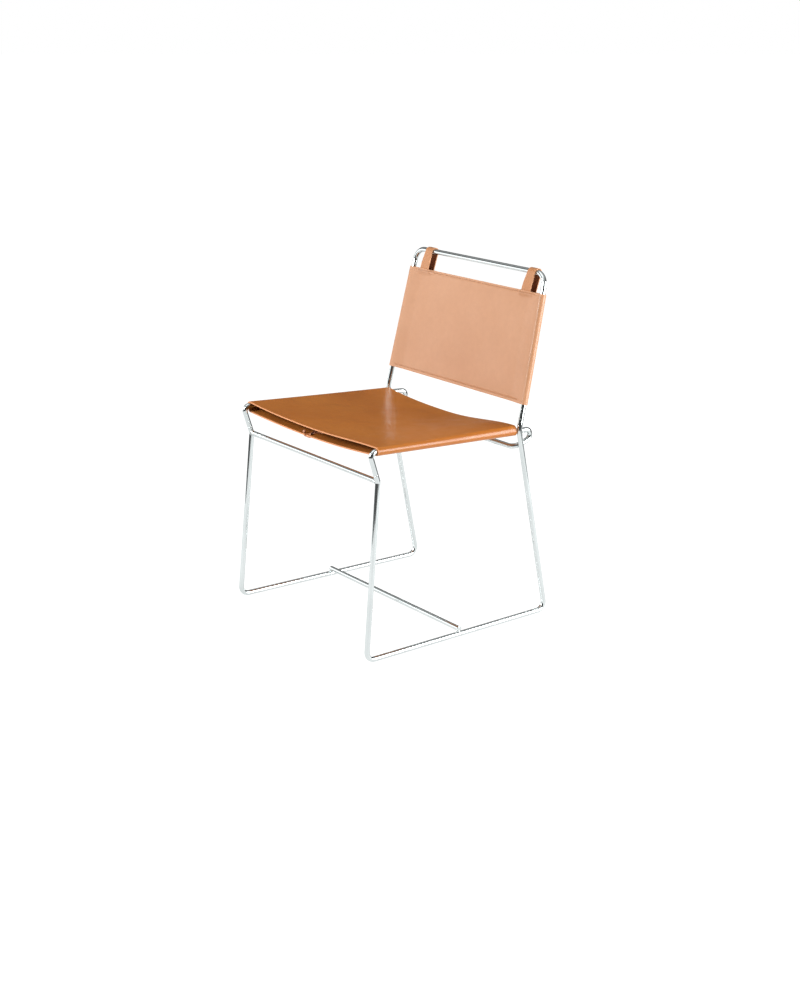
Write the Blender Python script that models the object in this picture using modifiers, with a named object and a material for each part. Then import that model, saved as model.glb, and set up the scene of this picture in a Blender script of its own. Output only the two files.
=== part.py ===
"""Dining chair: a welded frame of bent round rod, a laced leather seat and a leather back sleeve.

Metres, +Z up, the chair faces -Y. The origin is on the floor, under the middle of the chair.
Left is -X and right is +X, as seen by someone who faces the chair.
"""

from math import atan, ceil, cos, hypot, pi, radians, sin, tan

import bmesh
import bpy
from mathutils import Vector

# Rod and clearances
CLEARANCE = 0.0003
ROD_DIAMETER = 0.012
ROD_BEVEL_RESOLUTION = 4
ROD_ARC_STEP = radians(14)

# Floor corners of the side frames: places where the straight runs would meet
FRONT_FOOT_Y = -0.2550
FRONT_FOOT_HALF_WIDTH = 0.2537
REAR_FOOT_Y = 0.2573
REAR_FOOT_HALF_WIDTH = 0.2436
FOOT_RADIUS = 0.019

# Knee, where the front leg ends and the jog to the seat rail begins
KNEE_Y = -0.2178
KNEE_HEIGHT = 0.3962
KNEE_HALF_WIDTH = 0.2461
KNEE_RADIUS = 0.020

# Crossing, where the rear leg bends into the upright beside the seat rail
CROSSING_Y = 0.1688
CROSSING_RISE = 0.0042
CROSSING_HALF_WIDTH = 0.2434
CROSSING_RADIUS = 0.080

# Top corners of the back hoop
TOP_Y = 0.2483
TOP_HEIGHT = 0.7800
TOP_HALF_WIDTH = 0.2293
TOP_CORNER_RADIUS = 0.029

# Seat rails: the curl in front, the straight rail and the hook behind the upright
CURL_REACH = 0.0206
CURL_RISE = 0.0660
CURL_RADIUS = 0.011
RAIL_FALL = 0.0224
HOOK_REACH = 0.0430
HOOK_DROP = 0.0210
HOOK_FILL = 0.98
BRANCH_FALL = 0.0142
CROSSBAR_SETBACK = 0.0010
CROSSBAR_CORNER_RADIUS = 0.020

# Straight run from a bend's end to the place where two lengths of rod are butt welded
JOG_STRAIGHT = 0.012
UPRIGHT_STRAIGHT = 0.008
BRANCH_STRAIGHT = 0.004

# Stretcher across the floor runners
STRETCHER_Y = 0.0008
STRETCHER_OVERHANG = 0.0014

# Seat sling
SLING_THICKNESS = 0.0030
SLING_FRONT_INSET = 0.0006
SLING_REAR_CLEARANCE = 0.0006
SLING_EASE_FRONT = 0.0006
SLING_EASE_REAR = 0.0018
SLING_SAG_FRONT = 0.0087
SLING_SAG_REAR = 0.0113
LEFT_RISE = 0.0020
RIGHT_RISE = 0.0052
LEFT_SHOULDER = -0.3
RIGHT_SHOULDER = 1.0
LEFT_SLACK_FRONT = 0.0065
LEFT_SLACK_REAR = 0.0020
SEAM_X = -0.0170
SEAM_GAP = 0.0070
SEAM_SAG = 0.0128
SLING_ROWS = 7
SLING_TOP_STEPS = 16
SLING_FLAP_STEPS = 5
SLING_WRAP_STEPS = 10

# Lace below the seat
LACE_DIAMETER = 0.0040
LACE_BEVEL_RESOLUTION = 1
LACE_HOLE_CLEARANCE = 0.0003
LACE_HOLE_SIDES = 10
LACE_HOLE_INSET = 0.0080
LACE_END_INSET = 0.0055
LACE_HOLE_COUNT = 13
LACE_BEND_RADIUS = 0.0024
LACE_ARC_STEP = radians(45)
KNOT_DIAMETER = 0.0075
KNOT_STEPS = 5
KNOT_END_ANGLE = radians(83)

# Back sleeve, measured along the slope of the back
SLEEVE_THICKNESS = 0.0025
SLEEVE_DROP = 0.0441
SLEEVE_HEIGHT = 0.2433
SLEEVE_DRAW_WIDTH = 0.045
SLEEVE_EDGE_PLY_GAP = 0.0006
SLEEVE_MIDDLE_PLY_GAP = 0.0034
SLEEVE_WRAP_STEPS = 6

# Hanging loops over the top bar
LOOP_WIDTH = 0.0295
LOOP_THICKNESS = 0.0020
LOOP_EASE = 0.0017
LOOP_HANG_ANGLE = radians(50)
LOOP_INSET = 0.0041
LOOP_TUCK = 0.0280
LOOP_SHIFT = 0.0028
LOOP_CROWN_SLIDE = 0.0060
LOOP_FADE_ACROSS = 0.020
LOOP_FADE_DOWN = 0.050
LOOP_EDGE_MARGIN = 0.0015
LOOP_ARC_STEPS = 12

# Worked out from the sizes above
ROD_RADIUS = ROD_DIAMETER / 2
ROD_SIDES = 4 + 2 * ROD_BEVEL_RESOLUTION
ROD_FLAT_RADIUS = ROD_RADIUS * cos(pi / ROD_SIDES)
RUNNER_HEIGHT = ROD_FLAT_RADIUS
STRETCHER_HEIGHT = 3 * ROD_FLAT_RADIUS + CLEARANCE
RAIL_HEIGHT_AT_CURL = KNEE_HEIGHT + CURL_RISE
RAIL_HEIGHT_AT_CROSSING = RAIL_HEIGHT_AT_CURL - RAIL_FALL
CROSSING_HEIGHT = RAIL_HEIGHT_AT_CROSSING + CROSSING_RISE
RAIL_REAR_HALF_WIDTH = CROSSING_HALF_WIDTH - ROD_DIAMETER - CLEARANCE
CROSSBAR_Y = CROSSING_Y - CROSSBAR_SETBACK
CURL_Y = KNEE_Y - CURL_REACH
LOOP_INNER_RADIUS = ROD_RADIUS + CLEARANCE + LOOP_EASE
LEFT = -1
RIGHT = 1


def lerp(start, end, share):
    return start + (end - start) * share


def smoothstep(share):
    share = min(max(share, 0.0), 1.0)
    return share * share * (3 - 2 * share)


def toward(start, goal, distance):
    """Point at a distance from start, on the straight line to goal."""
    return start + (goal - start).normalized() * distance


def turn_angle(before, corner, after):
    return (corner - before).angle(after - corner)


def bent_path(corners, arc_step=ROD_ARC_STEP):
    """Points along straight runs whose corners, given as (place, radius), are rounded."""
    points = [corners[0][0]]
    for (before, _), (corner, radius), (after, _) in zip(corners, corners[1:], corners[2:]):
        turn = turn_angle(before, corner, after)
        if radius == 0:
            points.append(corner)
            continue
        tangent = radius * tan(turn / 2)
        start = toward(corner, before, tangent)
        end = toward(corner, after, tangent)
        middle = (start + end) / 2
        centre = toward(corner, middle, radius / cos(turn / 2))
        steps = max(2, ceil(turn / arc_step))
        for step in range(steps + 1):
            angle = turn * step / steps
            from_start = sin(turn - angle) / sin(turn)
            from_end = sin(angle) / sin(turn)
            points.append(centre + (start - centre) * from_start + (end - centre) * from_end)
    points.append(corners[-1][0])
    return points


def side_point(side, half_width, y, z):
    return Vector((side * half_width, y, z))


# Places on the frame's centre line


def front_foot(side):
    return side_point(side, FRONT_FOOT_HALF_WIDTH, FRONT_FOOT_Y, RUNNER_HEIGHT)


def rear_foot(side):
    return side_point(side, REAR_FOOT_HALF_WIDTH, REAR_FOOT_Y, RUNNER_HEIGHT)


def knee(side):
    return side_point(side, KNEE_HALF_WIDTH, KNEE_Y, KNEE_HEIGHT)


def crossing(side):
    return side_point(side, CROSSING_HALF_WIDTH, CROSSING_Y, CROSSING_HEIGHT)


def top_corner(side):
    return side_point(side, TOP_HALF_WIDTH, TOP_Y, TOP_HEIGHT)


def rail_centre(side, y):
    """Centre of the seat rail, on the straight line from the curl's corner past the crossing."""
    share = (y - CURL_Y) / (CROSSING_Y - CURL_Y)
    half_width = lerp(KNEE_HALF_WIDTH, RAIL_REAR_HALF_WIDTH, share)
    height = lerp(RAIL_HEIGHT_AT_CURL, RAIL_HEIGHT_AT_CROSSING, share)
    return side_point(side, half_width, y, height)


def curl_corner(side):
    return rail_centre(side, CURL_Y)


def hook_corners(side):
    upper = rail_centre(side, CROSSING_Y + HOOK_REACH)
    return upper, upper - Vector((0, 0, HOOK_DROP))


def crossbar_corner(side):
    _, lower = hook_corners(side)
    return side_point(side, RAIL_REAR_HALF_WIDTH, CROSSBAR_Y, lower.z - BRANCH_FALL)


def hook_radius():
    """The hook's two corners share one radius that just fills the drop between them."""
    upper, lower = hook_corners(RIGHT)
    upper_turn = turn_angle(curl_corner(RIGHT), upper, lower)
    lower_turn = turn_angle(upper, lower, crossbar_corner(RIGHT))
    return HOOK_FILL * HOOK_DROP / (tan(upper_turn / 2) + tan(lower_turn / 2))


def crossing_turn():
    return turn_angle(rear_foot(RIGHT), crossing(RIGHT), top_corner(RIGHT))


def curl_end_y():
    """Where the curl has turned into the straight rail."""
    rail_direction_point = rail_centre(RIGHT, CROSSING_Y)
    turn = turn_angle(knee(RIGHT), curl_corner(RIGHT), rail_direction_point)
    return toward(curl_corner(RIGHT), rail_direction_point, CURL_RADIUS * tan(turn / 2)).y


def upright_front_y():
    """Foremost face of the upright at the rounded crossing bend."""
    setback = CROSSING_RADIUS * (1 / cos(crossing_turn() / 2) - 1)
    return CROSSING_Y + setback - ROD_RADIUS


# Butt welds: each is reached from the bend beside it


def jog_weld(side, gap=0.0):
    turn = turn_angle(curl_corner(side), knee(side), front_foot(side))
    stub = KNEE_RADIUS * tan(turn / 2) + JOG_STRAIGHT
    return toward(knee(side), curl_corner(side), stub + gap)


def upright_weld(side, gap=0.0):
    stub = CROSSING_RADIUS * tan(crossing_turn() / 2) + UPRIGHT_STRAIGHT
    return toward(crossing(side), top_corner(side), stub + gap)


def branch_weld(side, gap=0.0):
    corner = crossbar_corner(side)
    branch = hook_corners(side)[1]
    turn = turn_angle(branch, corner, crossbar_corner(-side))
    stub = CROSSBAR_CORNER_RADIUS * tan(turn / 2) + BRANCH_STRAIGHT
    return toward(corner, branch, stub + gap)


# Blender helpers


def clear_scene():
    for scene_object in list(bpy.data.objects):
        bpy.data.objects.remove(scene_object, do_unlink=True)


def make_collection(name):
    collection = bpy.data.collections.new(name)
    bpy.context.scene.collection.children.link(collection)
    return collection


def make_material(name, color, roughness, metallic=0.0):
    material = bpy.data.materials.new(name)
    material.use_nodes = True
    shader = material.node_tree.nodes["Principled BSDF"]
    shader.inputs["Base Color"].default_value = (*color, 1.0)
    shader.inputs["Roughness"].default_value = roughness
    shader.inputs["Metallic"].default_value = metallic
    return material


def add_tube(name, points, diameter, bevel_resolution, material, collection, swell=None):
    """Round tube through the points; swell scales its radius at each point."""
    curve = bpy.data.curves.new(name, "CURVE")
    curve.dimensions = "3D"
    curve.bevel_depth = diameter / 2
    curve.bevel_resolution = bevel_resolution
    curve.use_fill_caps = True
    spline = curve.splines.new("POLY")
    spline.points.add(len(points) - 1)
    for index, point in enumerate(points):
        spline.points[index].co = (*point, 1.0)
        spline.points[index].tilt = pi / (4 + 2 * bevel_resolution)
        spline.points[index].radius = swell[index] if swell else 1.0
    spline.use_smooth = True
    curve.materials.append(material)
    tube = bpy.data.objects.new(name, curve)
    collection.objects.link(tube)
    return tube


def add_sheet(name, rows, closed, thickness, material, collection):
    """Leather sheet: a loft through rows of mid-surface points, given its thickness."""
    mesh = bpy.data.meshes.new(name)
    sheet = bmesh.new()
    grid = [[sheet.verts.new(point) for point in row] for row in rows]
    around = len(rows[0]) if closed else len(rows[0]) - 1
    for lower, upper in zip(grid, grid[1:]):
        for index in range(around):
            following = (index + 1) % len(lower)
            sheet.faces.new((lower[index], lower[following], upper[following], upper[index]))
    sheet.normal_update()
    sheet.to_mesh(mesh)
    sheet.free()
    mesh.shade_smooth()
    mesh.materials.append(material)
    leather = bpy.data.objects.new(name, mesh)
    collection.objects.link(leather)
    solidify = leather.modifiers.new("Leather thickness", "SOLIDIFY")
    solidify.thickness = thickness
    solidify.offset = 0.0
    solidify.use_even_offset = True
    return leather


# Steel rods


def add_rod(name, corners, material, collection):
    points = bent_path(corners)
    return add_tube(name, points, ROD_DIAMETER, ROD_BEVEL_RESOLUTION, material, collection)


def add_base_rod(name, side, material, collection):
    corners = [
        (jog_weld(side), 0),
        (knee(side), KNEE_RADIUS),
        (front_foot(side), FOOT_RADIUS),
        (rear_foot(side), FOOT_RADIUS),
        (crossing(side), CROSSING_RADIUS),
        (upright_weld(side), 0),
    ]
    return add_rod(name, corners, material, collection)


def add_seat_rail(name, side, material, collection):
    hook_upper, hook_lower = hook_corners(side)
    corners = [
        (jog_weld(side, CLEARANCE), 0),
        (curl_corner(side), CURL_RADIUS),
        (hook_upper, hook_radius()),
        (hook_lower, hook_radius()),
        (branch_weld(side, CLEARANCE), 0),
    ]
    return add_rod(name, corners, material, collection)


def add_rear_crossbar(material, collection):
    corners = [
        (branch_weld(LEFT), 0),
        (crossbar_corner(LEFT), CROSSBAR_CORNER_RADIUS),
        (crossbar_corner(RIGHT), CROSSBAR_CORNER_RADIUS),
        (branch_weld(RIGHT), 0),
    ]
    return add_rod("rear_crossbar", corners, material, collection)


def add_back_hoop(material, collection):
    corners = [
        (upright_weld(LEFT, CLEARANCE), 0),
        (top_corner(LEFT), TOP_CORNER_RADIUS),
        (top_corner(RIGHT), TOP_CORNER_RADIUS),
        (upright_weld(RIGHT, CLEARANCE), 0),
    ]
    return add_rod("back_hoop", corners, material, collection)


def add_front_crossbar(material, collection):
    half_length = KNEE_HALF_WIDTH - ROD_RADIUS - CLEARANCE
    ends = [(side_point(side, half_length, KNEE_Y, KNEE_HEIGHT), 0) for side in (LEFT, RIGHT)]
    return add_rod("front_crossbar", ends, material, collection)


def add_base_stretcher(material, collection):
    share = (STRETCHER_Y - FRONT_FOOT_Y) / (REAR_FOOT_Y - FRONT_FOOT_Y)
    runner_half_width = lerp(FRONT_FOOT_HALF_WIDTH, REAR_FOOT_HALF_WIDTH, share)
    half_length = runner_half_width + STRETCHER_OVERHANG
    ends = [(side_point(side, half_length, STRETCHER_Y, STRETCHER_HEIGHT), 0) for side in (LEFT, RIGHT)]
    return add_rod("base_stretcher", ends, material, collection)


# Seat sling


def sling_front_y():
    return curl_end_y() + SLING_FRONT_INSET


def sling_rear_y():
    return upright_front_y() - SLING_REAR_CLEARANCE


def sling_share(y):
    """0 at the sling's front edge, 1 at its rear edge."""
    return (y - sling_front_y()) / (sling_rear_y() - sling_front_y())


def wrap_slack(side, y):
    """How far the wrap hangs below a snug fit; on the right it is snug."""
    return lerp(LEFT_SLACK_FRONT, LEFT_SLACK_REAR, sling_share(y)) if side == LEFT else 0.0


def wrap_rise(side, y):
    """How far the wrap stands above a snug fit, most at the rear edge."""
    rise = LEFT_RISE if side == LEFT else RIGHT_RISE
    return rise * sling_share(y) ** 2


def snug_reach():
    return ROD_RADIUS + CLEARANCE + SLING_THICKNESS / 2


def wrap_across(y):
    """Half width of the wrap round a rail."""
    return snug_reach() + lerp(SLING_EASE_FRONT, SLING_EASE_REAR, sling_share(y))


def wrap_up(side, y):
    return snug_reach() + wrap_rise(side, y)


def wrap_down(side, y):
    return snug_reach() + wrap_slack(side, y)


def middle_height(y):
    """Height of the seat's top layer midway between the rails."""
    sag = lerp(SLING_SAG_FRONT, SLING_SAG_REAR, sling_share(y))
    return rail_centre(RIGHT, y).z + snug_reach() - sag


def flap_edge_x(side):
    return SEAM_X + side * SEAM_GAP / 2


def seam_height(y):
    """Height at which both lower flaps end, below the bottom of a snug wrap."""
    return rail_centre(RIGHT, y).z - snug_reach() - SEAM_SAG


def wrap_leave_angle(slope, across, upright):
    """Angle past the ellipse's end at which its slope equals that of the layer that leaves it."""
    return atan(slope * across / upright)


def flap_start(side, y):
    """Where a lower flap leaves the wrap: distance from the middle, height and leave angle."""
    rail = rail_centre(RIGHT, y)
    span = rail.x - side * flap_edge_x(side)
    drop = rail.z - wrap_down(side, y) - seam_height(y)
    leave = wrap_leave_angle(2 * drop / span, wrap_across(y), wrap_down(side, y))
    start_x = rail.x + wrap_across(y) * sin(leave)
    return start_x, rail.z - wrap_down(side, y) * cos(leave), leave


def flap_height(side, x, y):
    """Height of a lower flap's middle surface."""
    start_x, start_height, _ = flap_start(side, y)
    inward = (start_x - side * x) / (start_x - side * flap_edge_x(side))
    return start_height - (start_height - seam_height(y)) * (1 - (1 - inward) ** 2)


def top_start(side, y):
    """Where the top layer leaves the wrap: distance from the middle, height and leave angle."""
    rail = rail_centre(RIGHT, y)
    shoulder = LEFT_SHOULDER if side == LEFT else RIGHT_SHOULDER
    depth = rail.z + wrap_up(side, y) - middle_height(y)
    slope = 2 * depth * (1 - shoulder) / rail.x
    leave = wrap_leave_angle(slope, wrap_across(y), wrap_up(side, y))
    start_x = rail.x - wrap_across(y) * sin(leave)
    return start_x, rail.z + wrap_up(side, y) * cos(leave), leave


def top_height(side, share, y):
    """Height of the top layer; share is 0 in the middle of the seat and 1 at the wrap."""
    _, start_height, _ = top_start(side, y)
    shoulder = LEFT_SHOULDER if side == LEFT else RIGHT_SHOULDER
    fall = (1 - share ** 2) * (1 - shoulder * share ** 2)
    return start_height - (start_height - middle_height(y)) * fall


def wrap_point(side, y, angle):
    """Point of the wrap at an angle from level, taller above the rail and deeper below it."""
    rail = rail_centre(RIGHT, y)
    upright = wrap_up(side, y) if angle > 0 else wrap_down(side, y)
    return side_point(side, rail.x + wrap_across(y) * cos(angle), y, rail.z + upright * sin(angle))


def sling_half_section(side, y):
    """Middle surface of one half of the sling, from the flap's free edge to the top's middle."""
    flap_x, _, flap_leave = flap_start(side, y)
    top_x, _, top_leave = top_start(side, y)
    points = []
    for step in range(SLING_FLAP_STEPS):
        x = lerp(side * flap_edge_x(side), flap_x, step / SLING_FLAP_STEPS)
        points.append(side_point(side, x, y, flap_height(side, side * x, y)))
    for step in range(SLING_WRAP_STEPS + 1):
        angle = lerp(flap_leave - pi / 2, pi / 2 + top_leave, step / SLING_WRAP_STEPS)
        points.append(wrap_point(side, y, angle))
    half_steps = SLING_TOP_STEPS // 2
    for step in range(1, half_steps + 1):
        share = 1 - step / half_steps
        points.append(side_point(side, top_x * share, y, top_height(side, share, y)))
    return points


def sling_rows():
    rows = []
    for row in range(SLING_ROWS):
        y = lerp(sling_front_y(), sling_rear_y(), row / (SLING_ROWS - 1))
        left_half = sling_half_section(LEFT, y)
        right_half = sling_half_section(RIGHT, y)
        rows.append(left_half + right_half[-2::-1])
    return rows


def lace_hole_x(side):
    return flap_edge_x(side) + side * LACE_HOLE_INSET


def lace_hole_ys():
    first = sling_front_y() + LACE_END_INSET
    last = sling_rear_y() - LACE_END_INSET
    return [lerp(first, last, hole / (LACE_HOLE_COUNT - 1)) for hole in range(LACE_HOLE_COUNT)]


def add_lace_hole_cutters(collection):
    cutters = bmesh.new()
    radius = LACE_DIAMETER / 2 + LACE_HOLE_CLEARANCE
    depth = 3 * SLING_THICKNESS
    for side in (LEFT, RIGHT):
        for y in lace_hole_ys():
            x = lace_hole_x(side)
            made = bmesh.ops.create_cone(
                cutters,
                cap_ends=True,
                segments=LACE_HOLE_SIDES,
                radius1=radius,
                radius2=radius,
                depth=depth,
            )
            bmesh.ops.translate(cutters, verts=made["verts"], vec=(x, y, flap_height(side, x, y)))
    mesh = bpy.data.meshes.new("lace_hole_cutters")
    cutters.to_mesh(mesh)
    cutters.free()
    cutter = bpy.data.objects.new("lace_hole_cutters", mesh)
    cutter.hide_render = True
    cutter.display_type = "WIRE"
    collection.objects.link(cutter)
    return cutter


def add_seat_sling(material, collection, cutter_collection):
    sling = add_sheet("seat_sling", sling_rows(), False, SLING_THICKNESS, material, collection)
    holes = sling.modifiers.new("Lace holes", "BOOLEAN")
    holes.operation = "DIFFERENCE"
    holes.object = add_lace_hole_cutters(cutter_collection)
    return sling


# Lace


def lace_place(side, x, y, level):
    """Lace centre lying on top of a flap (level 1) or below it (level -1)."""
    offset = SLING_THICKNESS / 2 + CLEARANCE + LACE_DIAMETER / 2
    return Vector((x, y, flap_height(side, x, y) + level * offset))


def lace_corners():
    """Down the left hole, across below, up the right hole, then slanting back above."""
    left_x = lace_hole_x(LEFT)
    right_x = lace_hole_x(RIGHT)
    left_edge = flap_edge_x(LEFT)
    right_edge = flap_edge_x(RIGHT)
    ys = lace_hole_ys()
    corners = []
    for index, y in enumerate(ys):
        if index > 0:
            corners.append((lace_place(LEFT, left_x, y, 1), LACE_BEND_RADIUS))
        corners.append((lace_place(LEFT, left_x, y, -1), LACE_BEND_RADIUS))
        corners.append((lace_place(LEFT, left_edge, y, -1), 0))
        corners.append((lace_place(RIGHT, right_x, y, -1), LACE_BEND_RADIUS))
        if index < len(ys) - 1:
            corners.append((lace_place(RIGHT, right_x, y, 1), LACE_BEND_RADIUS))
            share = (right_x - right_edge) / (right_x - left_x)
            edge_y = lerp(y, ys[index + 1], share)
            corners.append((lace_place(RIGHT, right_edge, edge_y, 1), 0))
    return corners


def knot_points(side, hole_y):
    """Points up through a stopper knot that sits on a hole, with the tube's swell at each."""
    radius = KNOT_DIAMETER / 2
    x = lace_hole_x(side)
    surface = flap_height(side, x, hole_y) + SLING_THICKNESS / 2 + CLEARANCE
    points = []
    swells = []
    for step in range(KNOT_STEPS + 1):
        angle = lerp(-KNOT_END_ANGLE, KNOT_END_ANGLE, step / KNOT_STEPS)
        height = surface + radius * (1 + sin(angle))
        points.append(Vector((x, hole_y, height)))
        swells.append(radius * cos(angle) / (LACE_DIAMETER / 2))
    swells[0] = 1.0
    return points, swells


def add_seat_lace(material, collection):
    ys = lace_hole_ys()
    first_knot, first_swells = knot_points(LEFT, ys[0])
    last_knot, last_swells = knot_points(RIGHT, ys[-1])
    corners = [(first_knot[0], 0)] + lace_corners() + [(last_knot[0], 0)]
    middle = bent_path(corners, LACE_ARC_STEP)
    points = first_knot[:0:-1] + middle + last_knot[1:]
    swells = first_swells[:0:-1] + [1.0] * len(middle) + last_swells[1:]
    return add_tube("seat_lace", points, LACE_DIAMETER, LACE_BEVEL_RESOLUTION, material, collection, swells)


# Back sleeve and hanging loops, in the plane of the back hoop


def hoop_lean():
    return atan((TOP_Y - CROSSING_Y) / (TOP_HEIGHT - CROSSING_HEIGHT))


def hoop_height():
    """Distance along the slope from the crossings to the top bar."""
    return hypot(TOP_Y - CROSSING_Y, TOP_HEIGHT - CROSSING_HEIGHT)


def hoop_half_width(up):
    return lerp(CROSSING_HALF_WIDTH, TOP_HALF_WIDTH, up / hoop_height())


def set_in_hoop_plane(piece):
    """Local X across, local Y towards the back, local Z up the slope from the crossings."""
    piece.location = (0, CROSSING_Y, CROSSING_HEIGHT)
    piece.rotation_euler = (-hoop_lean(), 0, 0)


def loop_centre_x():
    """The straps hang just inside the ends of the top bar's straight run."""
    up_the_upright = top_corner(RIGHT) - crossing(RIGHT)
    along_the_bar = Vector((-1, 0, 0))
    corner_length = TOP_CORNER_RADIUS * tan(up_the_upright.angle(along_the_bar) / 2)
    return TOP_HALF_WIDTH - corner_length - LOOP_INSET - LOOP_WIDTH / 2


def loop_middle_radius():
    return LOOP_INNER_RADIUS + LOOP_THICKNESS / 2


def loop_share(x, up):
    """1 where a strap lies inside the sleeve, fading to 0 around it."""
    aside = abs(abs(x) - loop_centre_x()) - LOOP_WIDTH / 2 - LOOP_EDGE_MARGIN
    strap_end = sleeve_top() - LOOP_TUCK - LOOP_EDGE_MARGIN
    below = strap_end - up
    return smoothstep(1 - aside / LOOP_FADE_ACROSS) * smoothstep(1 - below / LOOP_FADE_DOWN)


def sleeve_top():
    return hoop_height() - SLEEVE_DROP


def sleeve_bottom():
    return sleeve_top() - SLEEVE_HEIGHT


def rod_ply_offset():
    return ROD_RADIUS + CLEARANCE + SLEEVE_THICKNESS / 2


def drawn_ply_offset(up):
    """Half the distance between the plies' middle surfaces, midway between the uprights."""
    share = (up - sleeve_bottom()) / SLEEVE_HEIGHT
    ply_gap = lerp(SLEEVE_EDGE_PLY_GAP, SLEEVE_MIDDLE_PLY_GAP, sin(pi * share))
    return (ply_gap + SLEEVE_THICKNESS) / 2


def ply_offset(x, up, face):
    """Middle surface of the front ply (face -1) or rear ply (face 1)."""
    inward = (hoop_half_width(up) - abs(x)) / SLEEVE_DRAW_WIDTH
    plain = face * lerp(rod_ply_offset(), drawn_ply_offset(up), smoothstep(inward))
    strap_face = loop_middle_radius() + LOOP_THICKNESS / 2
    over_strap = LOOP_SHIFT + face * (strap_face + CLEARANCE + SLEEVE_THICKNESS / 2)
    return lerp(plain, over_strap, loop_share(x, up))


def sleeve_half_xs(up):
    """Places across one half of the sleeve, closer together beside the strap and the upright."""
    reach = LOOP_WIDTH / 2 + LOOP_EDGE_MARGIN
    inner = loop_centre_x() - reach
    outer = loop_centre_x() + reach
    fade = inner - LOOP_FADE_ACROSS
    edge = hoop_half_width(up)
    beside_upright = [lerp(outer, edge, step / 3) for step in range(4)]
    return [0.0, fade / 2, fade, (fade + inner) / 2, inner] + beside_upright


def sleeve_row(up):
    """One closed ring round both uprights: front ply, right turn, rear ply, left turn."""
    xs = sleeve_half_xs(up)
    edge = xs[-1]
    across = [-x for x in reversed(xs)] + xs[1:]
    row = [Vector((x, ply_offset(x, up, -1), up)) for x in across]
    for side in (RIGHT, LEFT):
        for step in range(1, SLEEVE_WRAP_STEPS):
            angle = side * lerp(-pi / 2, pi / 2, step / SLEEVE_WRAP_STEPS)
            x = side * (edge + rod_ply_offset() * cos(angle))
            row.append(Vector((x, rod_ply_offset() * sin(angle), up)))
        if side == RIGHT:
            row += [Vector((x, ply_offset(x, up, 1), up)) for x in reversed(across)]
    return row


def sleeve_levels():
    bottom = sleeve_bottom()
    top = sleeve_top()
    strap_end = top - LOOP_TUCK - LOOP_EDGE_MARGIN
    fade_end = strap_end - LOOP_FADE_DOWN
    plain = [lerp(bottom, fade_end, step / 3) for step in range(3)]
    fading = [lerp(fade_end, strap_end, step / 3) for step in range(3)]
    return plain + fading + [strap_end, top]


def add_back_sleeve(material, collection):
    rows = [sleeve_row(up) for up in sleeve_levels()]
    sleeve = add_sheet("back_sleeve", rows, True, SLEEVE_THICKNESS, material, collection)
    set_in_hoop_plane(sleeve)
    return sleeve


def loop_arc_centre():
    """Centre of the strap's turn, below and behind the bar, so that the strap rests on the bar."""
    back = LOOP_EASE * sin(LOOP_HANG_ANGLE)
    return back, hoop_height() - LOOP_EASE * cos(LOOP_HANG_ANGLE)


def loop_slide(up):
    """Sideways lean of a strap above the sleeve."""
    _, arc_height = loop_arc_centre()
    return LOOP_CROWN_SLIDE * max(0.0, up - sleeve_top()) / (arc_height - sleeve_top())


def loop_profile():
    """Strap's middle line: up inside the sleeve in front, over the bar and down behind."""
    radius = loop_middle_radius()
    arc_back, arc_height = loop_arc_centre()
    end = sleeve_top() - LOOP_TUCK
    profile = [(LOOP_SHIFT - radius, end), (LOOP_SHIFT - radius, sleeve_top())]
    for step in range(LOOP_ARC_STEPS + 1):
        angle = pi * (1 - step / LOOP_ARC_STEPS)
        profile.append((arc_back + radius * cos(angle), arc_height + radius * sin(angle)))
    profile += [(LOOP_SHIFT + radius, sleeve_top()), (LOOP_SHIFT + radius, end)]
    return profile


def add_hanging_loop(name, side, material, collection):
    centre = side * loop_centre_x()
    rows = []
    for edge in (1, -1):
        x = centre + edge * LOOP_WIDTH / 2
        rows.append([Vector((x + loop_slide(up), back, up)) for back, up in loop_profile()])
    loop = add_sheet(name, rows, False, LOOP_THICKNESS, material, collection)
    set_in_hoop_plane(loop)
    return loop


def build_chair():
    clear_scene()
    chair = make_collection("sling_chair")
    cutters = make_collection("cutters")
    steel = make_material("chromed_steel", (0.82, 0.83, 0.84), 0.08, metallic=1.0)
    seat_leather = make_material("seat_leather", (0.45, 0.16, 0.06), 0.42)
    back_leather = make_material("back_leather", (0.62, 0.30, 0.17), 0.42)
    lace_leather = make_material("lace_leather", (0.33, 0.14, 0.07), 0.6)
    for word, side in (("left", LEFT), ("right", RIGHT)):
        add_base_rod(word + "_base_rod", side, steel, chair)
        add_seat_rail(word + "_seat_rail", side, steel, chair)
        add_hanging_loop(word + "_hanging_loop", side, back_leather, chair)
    add_rear_crossbar(steel, chair)
    add_back_hoop(steel, chair)
    add_front_crossbar(steel, chair)
    add_base_stretcher(steel, chair)
    add_seat_sling(seat_leather, chair, cutters)
    add_seat_lace(lace_leather, chair)
    add_back_sleeve(back_leather, chair)


build_chair()
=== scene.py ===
# %% [markdown]
# # A sling chair of bent rod and leather
#
# The chair has a frame of round, chromed steel rod. A tan leather sheet wraps the two seat rails
# and is laced together underneath. A leather sleeve wraps the two uprights as a back, and two
# straps carry it from the top bar. This lesson loads the plain solids of the chair as a fixed
# frame, then makes the finished surface of each piece in the same place.

# %% Load the fixed frame
from math import atan, cos, hypot, pi, radians, sin, sqrt, tan

import bmesh
import bpy
from mathutils import Matrix, Vector


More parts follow.
